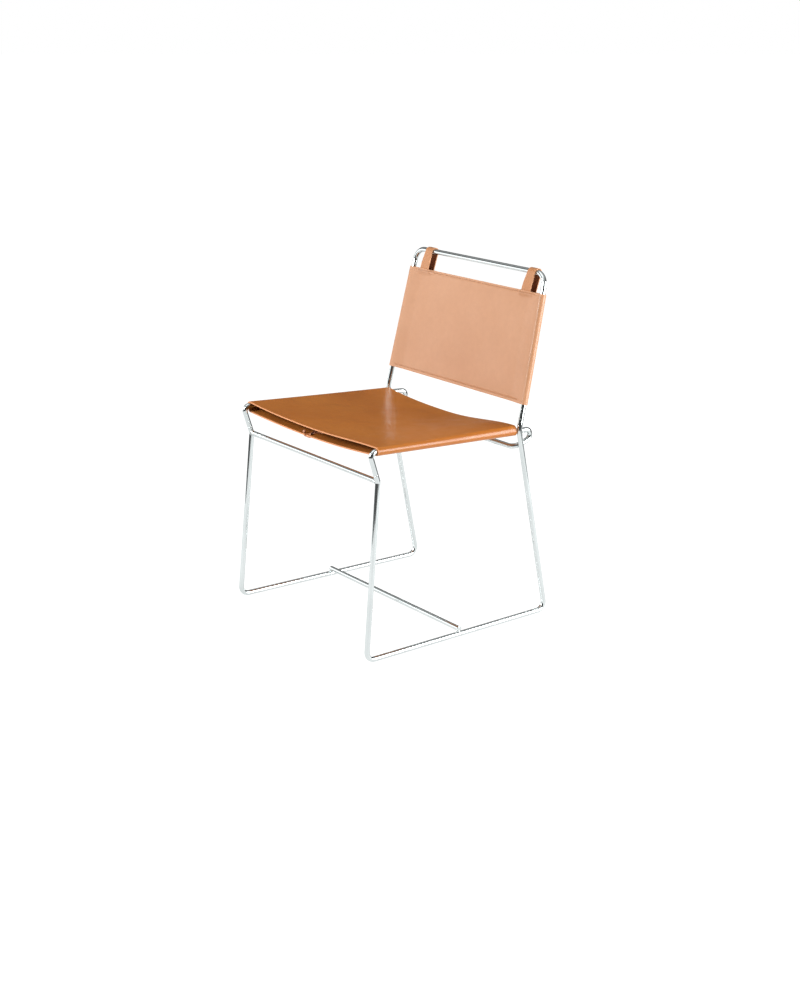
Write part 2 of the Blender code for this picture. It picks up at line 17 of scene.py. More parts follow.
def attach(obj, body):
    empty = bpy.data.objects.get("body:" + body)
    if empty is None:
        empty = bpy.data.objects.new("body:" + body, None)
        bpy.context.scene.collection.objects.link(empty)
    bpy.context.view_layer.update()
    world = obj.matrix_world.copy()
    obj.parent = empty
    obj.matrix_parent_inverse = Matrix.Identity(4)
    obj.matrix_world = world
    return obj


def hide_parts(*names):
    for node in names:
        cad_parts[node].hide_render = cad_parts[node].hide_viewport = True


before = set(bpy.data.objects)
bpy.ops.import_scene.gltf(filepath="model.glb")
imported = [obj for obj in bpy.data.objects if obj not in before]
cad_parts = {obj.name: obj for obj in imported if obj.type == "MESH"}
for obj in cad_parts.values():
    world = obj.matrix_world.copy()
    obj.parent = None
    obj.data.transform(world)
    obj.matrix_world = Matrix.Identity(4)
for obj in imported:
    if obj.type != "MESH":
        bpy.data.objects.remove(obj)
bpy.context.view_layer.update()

# %% [markdown]
# ## Sizes
#
# All sizes are in metres. They repeat the sizes of the solids, so that the finished pieces lie
# exactly where the solids are. Left is -X and right is +X for someone who faces the chair.

# %% Sizes of the rod frame
CLEARANCE = 0.0003
ROD_RADIUS = 0.006
ROD_FLAT_RADIUS = ROD_RADIUS * cos(pi / 12)
LEFT, RIGHT = -1, 1
FRONT_FOOT = (0.2537, -0.2550)
REAR_FOOT = (0.2436, 0.2573)
FOOT_RADIUS = 0.019
KNEE = (0.2461, -0.2178, 0.3962)
KNEE_RADIUS = 0.020
CURL = (0.2461, -0.2384, 0.4622)
CURL_RADIUS = 0.011
CROSSING = (0.2434, 0.1688, 0.4440)
CROSSING_RADIUS = 0.080
TOP = (0.2293, 0.2483, 0.7800)
TOP_RADIUS = 0.029
RAIL_HEIGHT_AT_CROSSING = 0.4398
RAIL_REAR_HALF_WIDTH = CROSSING[0] - 2 * ROD_RADIUS - CLEARANCE
HOOK_REACH = 0.0430
HOOK_DROP = 0.0210
BRANCH_FALL = 0.0142
CROSSBAR_Y = CROSSING[1] - 0.0010
CROSSBAR_RADIUS = 0.020
JOG_STRAIGHT = 0.012
UPRIGHT_STRAIGHT = 0.008
BRANCH_STRAIGHT = 0.004
STRETCHER_Y = 0.0008
STRETCHER_HEIGHT = 3 * ROD_FLAT_RADIUS + CLEARANCE
STRETCHER_OVERHANG = 0.0014
STRETCHER_CONTACT_INSET = 0.0016
ROD_END_CHAMFER = 0.0006

# %% Sizes of the leather
SLING_THICKNESS = 0.0030
SLING_END_ROOM = 0.0006
SLING_EASE = (0.0006, 0.0018)
SLING_SAG = (0.0087, 0.0113)
SLING_RISE = {LEFT: 0.0020, RIGHT: 0.0052}
SHOULDER = {LEFT: -0.3, RIGHT: 1.0}
LEFT_SLACK = (0.0065, 0.0020)
SEAM_X, SEAM_GAP, SEAM_SAG = -0.0170, 0.0070, 0.0128
LACE_RADIUS = 0.0020
LACE_HOLES = 13
LACE_HOLE_INSET = 0.0080
LACE_END_INSET = 0.0055
LACE_BEND_RADIUS = 0.0024
LACE_END_HEIGHT = 0.002
SLEEVE_THICKNESS = 0.0025
SLEEVE_DROP = 0.0441
SLEEVE_HEIGHT = 0.2433
SLEEVE_DRAW_WIDTH = 0.045
PLY_GAP = (0.0006, 0.0034)
STRAP_WIDTH = 0.0295
STRAP_THICKNESS = 0.0020
STRAP_EASE = 0.0017
STRAP_HANG_ANGLE = radians(50)
STRAP_INSET = 0.0041
STRAP_TUCK = 0.0280
STRAP_SHIFT = 0.0028
STRAP_SLIDE = 0.0060
STRAP_TAPER = 0.0045
STRAP_SIDE_ROOM = 0.0015
SHEET_EDGE_ROUND = 0.0006
STRAP_EDGE_ROUND = 0.0004

# %% [markdown]
# ## Camera
#
# The camera stands at the right front of the chair, 1.4 m above the floor, and looks slightly
# down. It comes first, so that each piece can be looked at as it is made.

# %% Camera
camera_data = bpy.data.cameras.new("camera")
camera_data.sensor_fit = "AUTO"
camera_data.sensor_width = 36.0
camera_data.lens = 60.15
camera_data.clip_start = 0.05
camera_data.clip_end = 60.0
camera = bpy.data.objects.new("camera", camera_data)
bpy.context.scene.collection.objects.link(camera)
aim = Vector((0.0, 0.0238, 0.2501))
turn, rise, distance = radians(53.2), radians(17.3), 3.8361
toward_camera = Vector((sin(turn) * cos(rise), -cos(turn) * cos(rise), sin(rise)))
camera.location = aim + toward_camera * distance
camera.rotation_euler = (-toward_camera).to_track_quat("-Z", "Y").to_euler()
bpy.context.scene.camera = camera
print("camera at", [round(v, 3) for v in camera.location])

# %% [markdown]
# ## Helpers for shapes
#
# A few small functions blend values and find points on straight lines. They are used by the rods
# and by the leather alike.

# %% Blend and direction helpers
def lerp(start, end, share):
    return start + (end - start) * share


def spread(start, end, steps):
    """Even places from start to end, both included."""
    return [lerp(start, end, step / steps) for step in range(steps + 1)]


def smoothstep(share):
    share = min(max(share, 0.0), 1.0)
    return share * share * (3 - 2 * share)


def toward(start, goal, length):
    return start + (goal - start).normalized() * length


def turn_angle(before, corner, after):
    return (corner - before).angle(after - corner)


def side_point(side, place):
    return Vector((side * place[0], place[1], place[2]))


# %% [markdown]
# ## Node trees written in code
#
# Geometry Nodes and materials are both graphs of nodes. This little builder adds a node, sets its
# values and links its inputs in one line, which keeps the trees below short enough to read.

# %% A small node builder
def add_node(tree, kind, props=None, **inputs):
    """Node of a kind; an input given as a socket is linked, any other value is set."""
    node = tree.nodes.new(kind)
    for key, value in (props or {}).items():
        setattr(node, key, value)
    for key, value in inputs.items():
        place = int(key[1:]) if key[0] == "i" and key[1:].isdigit() else key.replace("_", " ")
        socket = node.inputs[place]
        if isinstance(value, bpy.types.NodeSocket):
            tree.links.new(value, socket)
        else:
            socket.default_value = value
    return node


def new_geometry_tree(name, sizes):
    """Empty tree with a geometry input and output, and a named input for each size."""
    tree = bpy.data.node_groups.new(name, "GeometryNodeTree")
    tree.interface.new_socket("Geometry", in_out="OUTPUT", socket_type="NodeSocketGeometry")
    tree.interface.new_socket("Geometry", in_out="INPUT", socket_type="NodeSocketGeometry")
    for label, kind in sizes:
        tree.interface.new_socket(label, in_out="INPUT", socket_type=kind)
    return tree, tree.nodes.new("NodeGroupInput"), tree.nodes.new("NodeGroupOutput")


def named_value(tree, label, kind="FLOAT"):
    """Socket that reads a value stored on the guide's points."""
    reader = add_node(tree, "GeometryNodeInputNamedAttribute", {"data_type": kind}, Name=label)
    return reader.outputs[0]


def finish_tree(tree, shape, finish, outlet):
    smooth = add_node(tree, "GeometryNodeSetShadeSmooth", Geometry=shape, Shade_Smooth=True)
    real = add_node(tree, "GeometryNodeRealizeInstances", Geometry=smooth.outputs[0])
    dressed = add_node(tree, "GeometryNodeSetMaterial", Geometry=real.outputs[0], Material=finish)
    tree.links.new(dressed.outputs[0], outlet.inputs[0])


def plain_mesh(worked):
    """Keep what an object's modifiers make as a plain mesh, and drop the object."""
    view = bpy.context.evaluated_depsgraph_get()
    mesh = bpy.data.meshes.new_from_object(worked.evaluated_get(view), depsgraph=view)
    worked.modifiers.clear()
    bpy.data.objects.remove(worked, do_unlink=True)
    return mesh


def grow(guide, tree, values):
    """Run a tree on a guide object and keep the result as a plain mesh."""
    modifier = guide.modifiers.new(tree.name, "NODES")
    modifier.node_group = tree
    for item in tree.interface.items_tree:
        if item.item_type == "SOCKET" and item.in_out == "INPUT" and item.name in values:
            modifier[item.identifier] = values[item.name]
    return plain_mesh(guide)


def place_piece(name, mesh):
    mesh.name = name
    piece = bpy.data.objects.new(name, mesh)
    bpy.context.scene.collection.objects.link(piece)
    return piece


# %% A guide line with values at its points
def guide_line(points, closed=False, **values):
    """Mesh of loose edges through the points; each value list becomes a point attribute."""
    mesh = bpy.data.meshes.new("guide")
    edges = [(i, i + 1) for i in range(len(points) - 1)]
    if closed:
        edges.append((len(points) - 1, 0))
    mesh.from_pydata([tuple(p) for p in points], edges, [])
    for label, numbers in values.items():
        if isinstance(numbers[0], (int, float)):
            layer = mesh.attributes.new(label, "FLOAT", "POINT")
            layer.data.foreach_set("value", numbers)
        else:
            layer = mesh.attributes.new(label, "FLOAT_VECTOR", "POINT")
            layer.data.foreach_set("vector", [v for n in numbers for v in n])
    return place_piece("guide", mesh)


# %% [markdown]
# ## Chrome
#
# Polished chrome over drawn steel rod is a near mirror. What gives it away is small: a slightly
# uneven gloss, a faint ripple left by the polishing, and fine hairline marks. All three come from
# noise on the object's own coordinates, so they stay put from any side.

# %% Material helpers
def start_material(name):
    material = bpy.data.materials.new(name)
    material.use_nodes = True
    tree = material.node_tree
    shader = tree.nodes["Principled BSDF"]
    places = tree.nodes.new("ShaderNodeTexCoord").outputs["Object"]
    return material, tree, shader, places


def noise(tree, places, scale, detail=2.0, roughness=0.5, stretch=None):
    if stretch:
        places = add_node(tree, "ShaderNodeMapping", Vector=places, Scale=stretch).outputs[0]
    grain = {"Scale": scale, "Detail": detail, "Roughness": roughness}
    return add_node(tree, "ShaderNodeTexNoise", Vector=places, **grain).outputs["Fac"]


def remap(tree, value, low, high, to_low, to_high):
    made = add_node(tree, "ShaderNodeMapRange", i0=value, i1=low, i2=high, i3=to_low, i4=to_high)
    return made.outputs[0]


def mix_colors(tree, share, first, second):
    made = add_node(tree, "ShaderNodeMix", {"data_type": "RGBA"}, i0=share)
    for socket, value in ((made.inputs[6], first), (made.inputs[7], second)):
        if isinstance(value, bpy.types.NodeSocket):
            tree.links.new(value, socket)
        else:
            socket.default_value = (*value, 1.0)
    return made.outputs[2]


def clouded(tree, value, low, high, dark, light):
    """Two colours, blended where a noise value goes from low to high."""
    return mix_colors(tree, remap(tree, value, low, high, 0, 1), dark, light)


def combine(tree, first, second, operation="ADD"):
    return add_node(tree, "ShaderNodeMath", {"operation": operation}, i0=first, i1=second).outputs[0]


def bump(tree, height, depth, strength, under=None):
    made = add_node(tree, "ShaderNodeBump", Height=height, Distance=depth, Strength=strength)
    if under:
        tree.links.new(under, made.inputs["Normal"])
    return made.outputs[0]


def wire_shader(tree, shader, color, roughness, normal, **values):
    """Link the three sockets that every material here uses, and set the plain values."""
    for label, socket in (("Base Color", color), ("Roughness", roughness), ("Normal", normal)):
        tree.links.new(socket, shader.inputs[label])
    for label, value in values.items():
        shader.inputs[label.replace("_", " ")].default_value = value


# %% Chrome material
def make_chrome():
    material, tree, shader, places = start_material("chrome")
    cloud = noise(tree, places, 14.0, 4.0)
    fine = noise(tree, places, 900.0, 2.0)
    tint = clouded(tree, cloud, 0.35, 0.65, (0.58, 0.62, 0.62), (0.64, 0.68, 0.68))
    gloss = remap(tree, cloud, 0.3, 0.7, 0.045, 0.085)
    hair = noise(tree, places, 120.0, 3.0, 0.6, stretch=(1.0, 0.25, 1.0))
    marks = remap(tree, hair, 0.60, 0.72, 0.0, 0.05)
    ripple = bump(tree, noise(tree, places, 25.0, 1.0), 0.0002, 0.015)
    polish = bump(tree, fine, 0.00001, 0.06, ripple)
    wire_shader(tree, shader, tint, combine(tree, gloss, marks), polish, Metallic=1.0)
    return material


CHROME = make_chrome()

# %% Chrome of the weld beads
def make_weld_chrome():
    material, tree, shader, places = start_material("chromed_weld")
    lumps = noise(tree, places, 700.0, 3.0)
    tint = clouded(tree, lumps, 0.3, 0.7, (0.52, 0.54, 0.54), (0.64, 0.67, 0.67))
    gloss = remap(tree, lumps, 0.3, 0.7, 0.10, 0.22)
    wire_shader(tree, shader, tint, gloss, bump(tree, lumps, 0.0003, 0.4), Metallic=1.0)
    return material


WELD_CHROME = make_weld_chrome()
print("chrome for the rods and for the weld beads is ready")

# %% [markdown]
# ## Bent rod
#
# A wire bender is told only the corners of a rod and the radius of each bend. The tree below works
# the same way: it rounds each corner of a guide line by its own radius, then sweeps a circle along
# it. Fillet Curve with a radius per point is exact, where a hand-drawn curve would only come near.

# %% Rod tree
rod_tree, rod_in, rod_out = new_geometry_tree(
    "bend_and_sweep_rod",
    [("Rod radius", "NodeSocketFloat"), ("Sides", "NodeSocketInt"),
     ("Steps per bend", "NodeSocketInt"), ("Finish", "NodeSocketMaterial")],
)
wire = add_node(rod_tree, "GeometryNodeMeshToCurve", Mesh=rod_in.outputs["Geometry"])
bend = named_value(rod_tree, "bend_radius")
swell = named_value(rod_tree, "swell")
bent = add_node(
    rod_tree, "GeometryNodeFilletCurve", {"mode": "POLY"},
    Curve=wire.outputs[0], Count=rod_in.outputs["Steps per bend"], Radius=bend,
)
circle = add_node(
    rod_tree, "GeometryNodeCurvePrimitiveCircle",
    Resolution=rod_in.outputs["Sides"], Radius=rod_in.outputs["Rod radius"],
)
swept = add_node(
    rod_tree, "GeometryNodeCurveToMesh",
    Curve=bent.outputs[0], Profile_Curve=circle.outputs[0], Scale=swell, Fill_Caps=True,
)
finish_tree(rod_tree, swept.outputs[0], rod_in.outputs["Finish"], rod_out)
print("rod tree nodes:", len(rod_tree.nodes))


# %% Draw a rod from its corners
def sweep(corners, radius, sides, steps, finish, closed=False, swells=None):
    places = [corner for corner, _ in corners]
    radii = [float(bend_radius) for _, bend_radius in corners]
    swells = swells or [1.0] * len(corners)
    guide = guide_line(places, closed, bend_radius=radii, swell=swells)
    values = {"Rod radius": radius, "Sides": sides, "Steps per bend": steps, "Finish": finish}
    return grow(guide, rod_tree, values)


def outward_faces(mesh):
    """Make every closed shell of a mesh face outwards."""
    work = bmesh.new()
    work.from_mesh(mesh)
    bmesh.ops.recalc_face_normals(work, faces=work.faces)
    work.to_mesh(mesh)
    work.free()


def join_meshes(name, meshes):
    """One piece from several meshes, each keeping its own material."""
    finishes = []
    for mesh in meshes:
        finishes += [m for m in mesh.materials if m not in finishes]
    work = bmesh.new()
    for mesh in meshes:
        before = len(work.faces)
        work.from_mesh(mesh)
        work.faces.ensure_lookup_table()
        for face in work.faces[before:]:
            face.material_index = finishes.index(mesh.materials[face.material_index])
    bmesh.ops.recalc_face_normals(work, faces=work.faces)
    joined = bpy.data.meshes.new(name)
    work.to_mesh(joined)
    work.free()
    for finish in finishes:
        joined.materials.append(finish)
    joined.set_sharp_from_angle(angle=radians(42))
    return place_piece(name, joined)


# %% [markdown]
# ## Places on the frame
#
# The frame's centre line is fixed by a few corners on each side: two feet on the floor, the knee,
# the curl in front of the seat, the crossing behind it and the top corner. Straight runs between
# them and a radius at each give every rod.

# %% Corners of the frame
def front_foot(side):
    return Vector((side * FRONT_FOOT[0], FRONT_FOOT[1], ROD_FLAT_RADIUS))


def rear_foot(side):
    return Vector((side * REAR_FOOT[0], REAR_FOOT[1], ROD_FLAT_RADIUS))


def rail_centre(side, y):
    share = (y - CURL[1]) / (CROSSING[1] - CURL[1])
    half_width = lerp(KNEE[0], RAIL_REAR_HALF_WIDTH, share)
    return Vector((side * half_width, y, lerp(CURL[2], RAIL_HEIGHT_AT_CROSSING, share)))


def hook_corners(side):
    upper = rail_centre(side, CROSSING[1] + HOOK_REACH)
    return upper, upper - Vector((0, 0, HOOK_DROP))


def crossbar_corner(side):
    height = hook_corners(side)[1].z - BRANCH_FALL
    return Vector((side * RAIL_REAR_HALF_WIDTH, CROSSBAR_Y, height))


def hook_radius():
    upper, lower = hook_corners(RIGHT)
    first = turn_angle(side_point(RIGHT, CURL), upper, lower)
    second = turn_angle(upper, lower, crossbar_corner(RIGHT))
    return 0.98 * HOOK_DROP / (tan(first / 2) + tan(second / 2))


# %% Welds along the rods
def jog_weld(side):
    knee, curl = side_point(side, KNEE), side_point(side, CURL)
    stub = KNEE_RADIUS * tan(turn_angle(curl, knee, front_foot(side)) / 2) + JOG_STRAIGHT
    return toward(knee, curl, stub)


def crossing_turn():
    return turn_angle(rear_foot(RIGHT), side_point(RIGHT, CROSSING), side_point(RIGHT, TOP))


def crossing_setback():
    """How far the bend keeps the rod from its own corner."""
    return CROSSING_RADIUS * (1 / cos(crossing_turn() / 2) - 1)


def upright_weld(side):
    stub = CROSSING_RADIUS * tan(crossing_turn() / 2) + UPRIGHT_STRAIGHT
    return toward(side_point(side, CROSSING), side_point(side, TOP), stub)


def branch_weld(side):
    corner, branch = crossbar_corner(side), hook_corners(side)[1]
    turn = turn_angle(branch, corner, crossbar_corner(-side))
    return toward(corner, branch, CROSSBAR_RADIUS * tan(turn / 2) + BRANCH_STRAIGHT)


for weld in (jog_weld, upright_weld, branch_weld):
    print(weld.__name__, "on the right:", [round(v, 4) for v in weld(RIGHT)])


# %% [markdown]
# ## Weld beads
#
# The rods meet in two ways. The front crossbar butts against the knees, so its bead follows the
# line where one round skin meets the other. The stretcher on the runners, and the rails beside the
# uprights, only touch at one point, and there the bead fills the narrow gap around that point.

# %% Bead where a straight rod butts against a bent one
BEAD_SIDES, BEAD_SEARCH_STEP = 10, 0.0001
BUTT_BEAD_POINTS, BUTT_BEAD_RADIUS, BUTT_BEAD_SETBACK = 40, 0.0011, 0.0004


def distance_to_line(point, line):
    best = 1.0
    for start, end in zip(line, line[1:]):
        run = end - start
        share = min(max((point - start).dot(run) / run.length_squared, 0.0), 1.0)
        best = min(best, (point - start - run * share).length)
    return best


def rounded_corner(before, corner, after, radius, steps=12):
    turn = turn_angle(before, corner, after)
    tangent = radius * tan(turn / 2)
    start, end = toward(corner, before, tangent), toward(corner, after, tangent)
    centre = toward(corner, (start + end) / 2, radius / cos(turn / 2))
    arc = []
    for step in range(steps + 1):
        angle = turn * step / steps
        spoke = (start - centre) * sin(turn - angle) + (end - centre) * sin(angle)
        arc.append(centre + spoke / sin(turn))
    return [before] + arc + [after]


def butt_bead(side):
    """Bead along the line where the crossbar's skin meets the skin of the bent knee."""
    curl, knee = side_point(side, CURL), side_point(side, KNEE)
    line = rounded_corner(curl, knee, front_foot(side), KNEE_RADIUS)
    ring = []
    for step in range(BUTT_BEAD_POINTS):
        angle = 2 * pi * step / BUTT_BEAD_POINTS
        x = KNEE[0] - KNEE_RADIUS
        skin = Vector((0, KNEE[1] + ROD_RADIUS * cos(angle), KNEE[2] + ROD_RADIUS * sin(angle)))
        while x < KNEE[0]:
            skin.x = side * x
            if distance_to_line(skin, line) <= ROD_RADIUS:
                break
            x += BEAD_SEARCH_STEP
        ripple = 0.00008 * sin(9 * angle)
        ring.append((Vector((side * (x - BUTT_BEAD_SETBACK + ripple), skin.y, skin.z)), 0))
    swells = [1.0 + 0.12 * sin(7 * step) for step in range(BUTT_BEAD_POINTS)]
    return sweep(ring, BUTT_BEAD_RADIUS, BEAD_SIDES, 1, WELD_CHROME, closed=True, swells=swells)


# %% Bead in the gap where two rods cross
LAP_BEAD_POINTS, LAP_BEAD_RADIUS, LAP_BEAD_REACH = 36, 0.0012, 0.0075


def lap_bead(contact, normal, first_axis, second_axis, gap_at_bead=0.0018):
    """Bead round the point where two rods touch, out where the gap between them fits it."""
    across = normal.orthogonal().normalized()
    along = normal.cross(across)
    ring = []
    for step in range(LAP_BEAD_POINTS):
        angle = 2 * pi * step / LAP_BEAD_POINTS
        direction = across * cos(angle) + along * sin(angle)
        slants = [direction.cross(axis).length for axis in (first_axis, second_axis)]
        reach, falls = 0.0, (0.0, 0.0)
        while reach < LAP_BEAD_REACH:
            falls = [ROD_RADIUS - sqrt(max(ROD_RADIUS ** 2 - (reach * s) ** 2, 0.0)) for s in slants]
            if sum(falls) + CLEARANCE >= gap_at_bead:
                break
            reach += BEAD_SEARCH_STEP
        ring.append((contact + direction * reach + normal * (falls[1] - falls[0]) / 2, 0))
    return sweep(ring, LAP_BEAD_RADIUS, BEAD_SIDES, 1, WELD_CHROME, closed=True)


# %% [markdown]
# ## The rods
#
# Each base rod runs from the weld in the jog down the front leg, along the floor and up the rear
# leg. Each rail curls over in front, runs straight back and turns down in a hook behind the
# upright. The back hoop, the two crossbars and the stretcher complete the frame.

# %% Base rods and seat rails
ROD_SIDES, BEND_STEPS = 40, 18


def rod_mesh(corners):
    return sweep(corners, ROD_RADIUS, ROD_SIDES, BEND_STEPS, CHROME)


def crossing_bead(side):
    rail = rail_centre(side, CROSSING[1])
    half_width = RAIL_REAR_HALF_WIDTH + ROD_RADIUS + CLEARANCE / 2
    contact = Vector((side * half_width, CROSSING[1] + crossing_setback(), rail.z))
    rail_run = (rail_centre(side, 0.1) - rail).normalized()
    leg_run = (side_point(side, TOP) - rear_foot(side)).normalized()
    return lap_bead(contact, Vector((side, 0, 0)), rail_run, leg_run)


rods = {}
for word, side in (("left", LEFT), ("right", RIGHT)):
    base = rod_mesh([
        (jog_weld(side), 0),
        (side_point(side, KNEE), KNEE_RADIUS),
        (front_foot(side), FOOT_RADIUS),
        (rear_foot(side), FOOT_RADIUS),
        (side_point(side, CROSSING), CROSSING_RADIUS),
        (upright_weld(side), 0),
    ])
    upper_hook, lower_hook = hook_corners(side)
    rail = rod_mesh([
        (jog_weld(side), 0),
        (side_point(side, CURL), CURL_RADIUS),
        (upper_hook, hook_radius()),
        (lower_hook, hook_radius()),
        (branch_weld(side), 0),
    ])
    rods[word + "_base_rod"] = join_meshes(word + "_base_chrome", [base])
    rods[word + "_seat_rail"] = join_meshes(word + "_rail_chrome", [rail, crossing_bead(side)])

# %% Back hoop, crossbars and stretcher
hoop = rod_mesh([
    (upright_weld(LEFT), 0),
    (side_point(LEFT, TOP), TOP_RADIUS),
    (side_point(RIGHT, TOP), TOP_RADIUS),
    (upright_weld(RIGHT), 0),
])
rods["back_hoop"] = join_meshes("hoop_chrome", [hoop])
rear_bar = rod_mesh([
    (branch_weld(LEFT), 0),
    (crossbar_corner(LEFT), CROSSBAR_RADIUS),
    (crossbar_corner(RIGHT), CROSSBAR_RADIUS),
    (branch_weld(RIGHT), 0),
])
rods["rear_crossbar"] = join_meshes("rear_crossbar_chrome", [rear_bar])
bar_end = KNEE[0] - ROD_RADIUS - CLEARANCE
front_bar = rod_mesh([(Vector((side * bar_end, KNEE[1], KNEE[2])), 0) for side in (LEFT, RIGHT)])
rods["front_crossbar"] = join_meshes(
    "front_crossbar_chrome", [front_bar, butt_bead(LEFT), butt_bead(RIGHT)])
runner_share = (STRETCHER_Y - FRONT_FOOT[1]) / (REAR_FOOT[1] - FRONT_FOOT[1])
runner_x = lerp(FRONT_FOOT[0], REAR_FOOT[0], runner_share)
stretcher_end = runner_x + STRETCHER_OVERHANG


def stretcher_bead(side):
    x = side * (runner_x - STRETCHER_CONTACT_INSET)
    contact = Vector((x, STRETCHER_Y, 2 * ROD_FLAT_RADIUS + CLEARANCE / 2))
    runner_run = (rear_foot(side) - front_foot(side)).normalized()
    return lap_bead(contact, Vector((0, 0, 1)), runner_run, Vector((1, 0, 0)), 0.0014)


stretcher = rod_mesh([
    (Vector((side * stretcher_end, STRETCHER_Y, STRETCHER_HEIGHT)), 0) for side in (LEFT, RIGHT)
])
rods["base_stretcher"] = join_meshes(
    "stretcher_chrome", [stretcher, stretcher_bead(LEFT), stretcher_bead(RIGHT)])
for piece in rods.values():
    chamfer = piece.modifiers.new("Filed ends", "BEVEL")
    chamfer.width = ROD_END_CHAMFER
    chamfer.segments = 2
    chamfer.limit_method = "ANGLE"
    chamfer.angle_limit = radians(60)
print("rods:", {name: len(piece.data.polygons) for name, piece in rods.items()})

# %% [markdown]
# ## Leather
#
# Smooth, vegetable tanned leather is not one colour. It has broad, soft clouds of lighter and
# darker tan, a fine pebble grain, tiny pores, and paler raw fibre wherever it was cut. Each mesh
# stores how far every point lies from the nearest cut edge, and the material uses that to show the
# raw edge and the slight wear beside it.

# %% Leather material
def distance_from_edge(tree):
    return add_node(tree, "ShaderNodeAttribute", {"attribute_name": "from_edge"}).outputs["Fac"]


def make_leather(name, light, dark, edge, gloss, grain_depth):
    """Grain side; the raw edge and the rubbed band beside it come from the stored distance."""
    material, tree, shader, places = start_material(name)
    clouds = noise(tree, places, 7.0, 3.0, 0.55)
    mottle = noise(tree, places, 85.0, 4.0, 0.6)
    body = clouded(tree, clouds, 0.30, 0.70, dark, light)
    speck = remap(tree, mottle, 0.30, 0.72, 0.0, 0.22)
    body = mix_colors(tree, speck, body, tuple(v * 0.80 for v in dark))
    pores = add_node(tree, "ShaderNodeTexVoronoi", {"feature": "F1"}, Vector=places, Scale=1500.0)
    cells = {"feature": "SMOOTH_F1"}
    pebbles = add_node(tree, "ShaderNodeTexVoronoi", cells, Vector=places, Scale=620.0)
    pits = remap(tree, pores.outputs["Distance"], 0.0, 0.25, 1.0, 0.0)
    body = mix_colors(tree, combine(tree, pits, 0.16, "MULTIPLY"), body, tuple(v * 0.6 for v in dark))
    ragged = remap(tree, noise(tree, places, 420.0, 3.0), 0.3, 0.7, -0.0005, 0.0005)
    worn = combine(tree, distance_from_edge(tree), ragged)
    raw = remap(tree, worn, 0.0003, 0.0011, 1.0, 0.0)
    rubbed = remap(tree, worn, 0.0010, 0.0070, 0.30, 0.0)
    body = mix_colors(tree, rubbed, body, light)
    body = mix_colors(tree, raw, body, edge)
    sheen_patches = remap(tree, noise(tree, places, 22.0, 3.0), 0.3, 0.7, gloss - 0.04, gloss + 0.06)
    dull_edge = combine(tree, raw, 0.35, "MULTIPLY")
    wave = bump(tree, noise(tree, places, 30.0, 2.0), 0.0020, 0.02)
    grain = bump(tree, pebbles.outputs["Distance"], grain_depth, 0.30, wave)
    pore_dents = bump(tree, pores.outputs["Distance"], grain_depth * 0.5, 0.25, grain)
    fibre = combine(tree, noise(tree, places, 1600.0, 3.0), raw, "MULTIPLY")
    surface = bump(tree, fibre, 0.0006, 0.5, pore_dents)
    dullness = combine(tree, sheen_patches, dull_edge)
    wire_shader(tree, shader, body, dullness, surface, Specular_IOR_Level=0.42)
    return material


# %% The four leathers
# Each line gives the light tan, the dark tan, the raw edge, the roughness and the grain's depth.
SEAT_LEATHER = make_leather(
    "seat_leather_tan", (0.412, 0.136, 0.016), (0.352, 0.106, 0.010), (0.56, 0.24, 0.105), 0.34, 0.00022)
# The back is the same tan leather as the seat; its paler, pinker tan is painted sheen from the front
# light.
BACK_LEATHER_PAINTED_SHEEN = make_leather(
    "back_leather_painted_sheen", (0.484, 0.250, 0.137), (0.446, 0.220, 0.113), (0.57, 0.29, 0.155), 0.37, 0.00020)
# The straps are the seat's tan leather; their paler tan is painted sheen.
STRAP_LEATHER_PAINTED_SHEEN = make_leather(
    "strap_leather_painted_sheen", (0.456, 0.207, 0.088), (0.412, 0.174, 0.068), (0.57, 0.28, 0.140), 0.38, 0.00020)
LACE_LEATHER = make_leather(
    "lace_leather_brown", (0.520, 0.250, 0.140), (0.400, 0.170, 0.090), (0.60, 0.34, 0.22), 0.50, 0.00016)
print("leathers:", [m.name for m in (SEAT_LEATHER, BACK_LEATHER_PAINTED_SHEEN, STRAP_LEATHER_PAINTED_SHEEN, LACE_LEATHER)])

# %% Flesh side of the leather
def make_flesh(name, light, dark, edge):
    """Matt, fibrous inner side, with the same raw edge."""
    material, tree, shader, places = start_material(name)
    nap = noise(tree, places, 260.0, 4.0, 0.65)
    clouds = noise(tree, places, 18.0, 3.0)
    body = clouded(tree, clouds, 0.3, 0.7, dark, light)
    fluff = remap(tree, nap, 0.35, 0.7, 0.0, 0.35)
    body = mix_colors(tree, fluff, body, tuple(v * 0.7 for v in dark))
    raw = remap(tree, distance_from_edge(tree), 0.0006, 0.0018, 1.0, 0.0)
    body = mix_colors(tree, raw, body, edge)
    dullness = remap(tree, nap, 0.3, 0.7, 0.72, 0.86)
    wire_shader(tree, shader, body, dullness, bump(tree, nap, 0.0008, 0.45), Specular_IOR_Level=0.2)
    return material


SEAT_FLESH = make_flesh(
    "seat_leather_flesh_side", (0.410, 0.142, 0.020), (0.320, 0.100, 0.012), (0.56, 0.24, 0.105))
# The back's flesh side is painted much darker than its grain side: painted shade inside the loops and the
# sleeve.
BACK_FLESH_PAINTED_SHADE = make_flesh(
    "back_flesh_side_painted_shade", (0.340, 0.120, 0.040), (0.240, 0.075, 0.022), (0.55, 0.27, 0.14))
print("flesh sides:", SEAT_FLESH.name, "and", BACK_FLESH_PAINTED_SHADE.name)

# %% [markdown]
# ## A sheet of leather
#
# A sheet is first made as a surface through the middle of its thickness, as rows of points. The
# Solidify modifier gives it its thickness to both sides, and a narrow Bevel rounds the cut edges,
# as an edge slicker does. The result is kept as a plain mesh.

# %% Sheet builder
def area_of(mesh):
    return sum(face.area for face in mesh.polygons)


def run_length(points):
    return sum((after - before).length for before, after in zip(points, points[1:]))


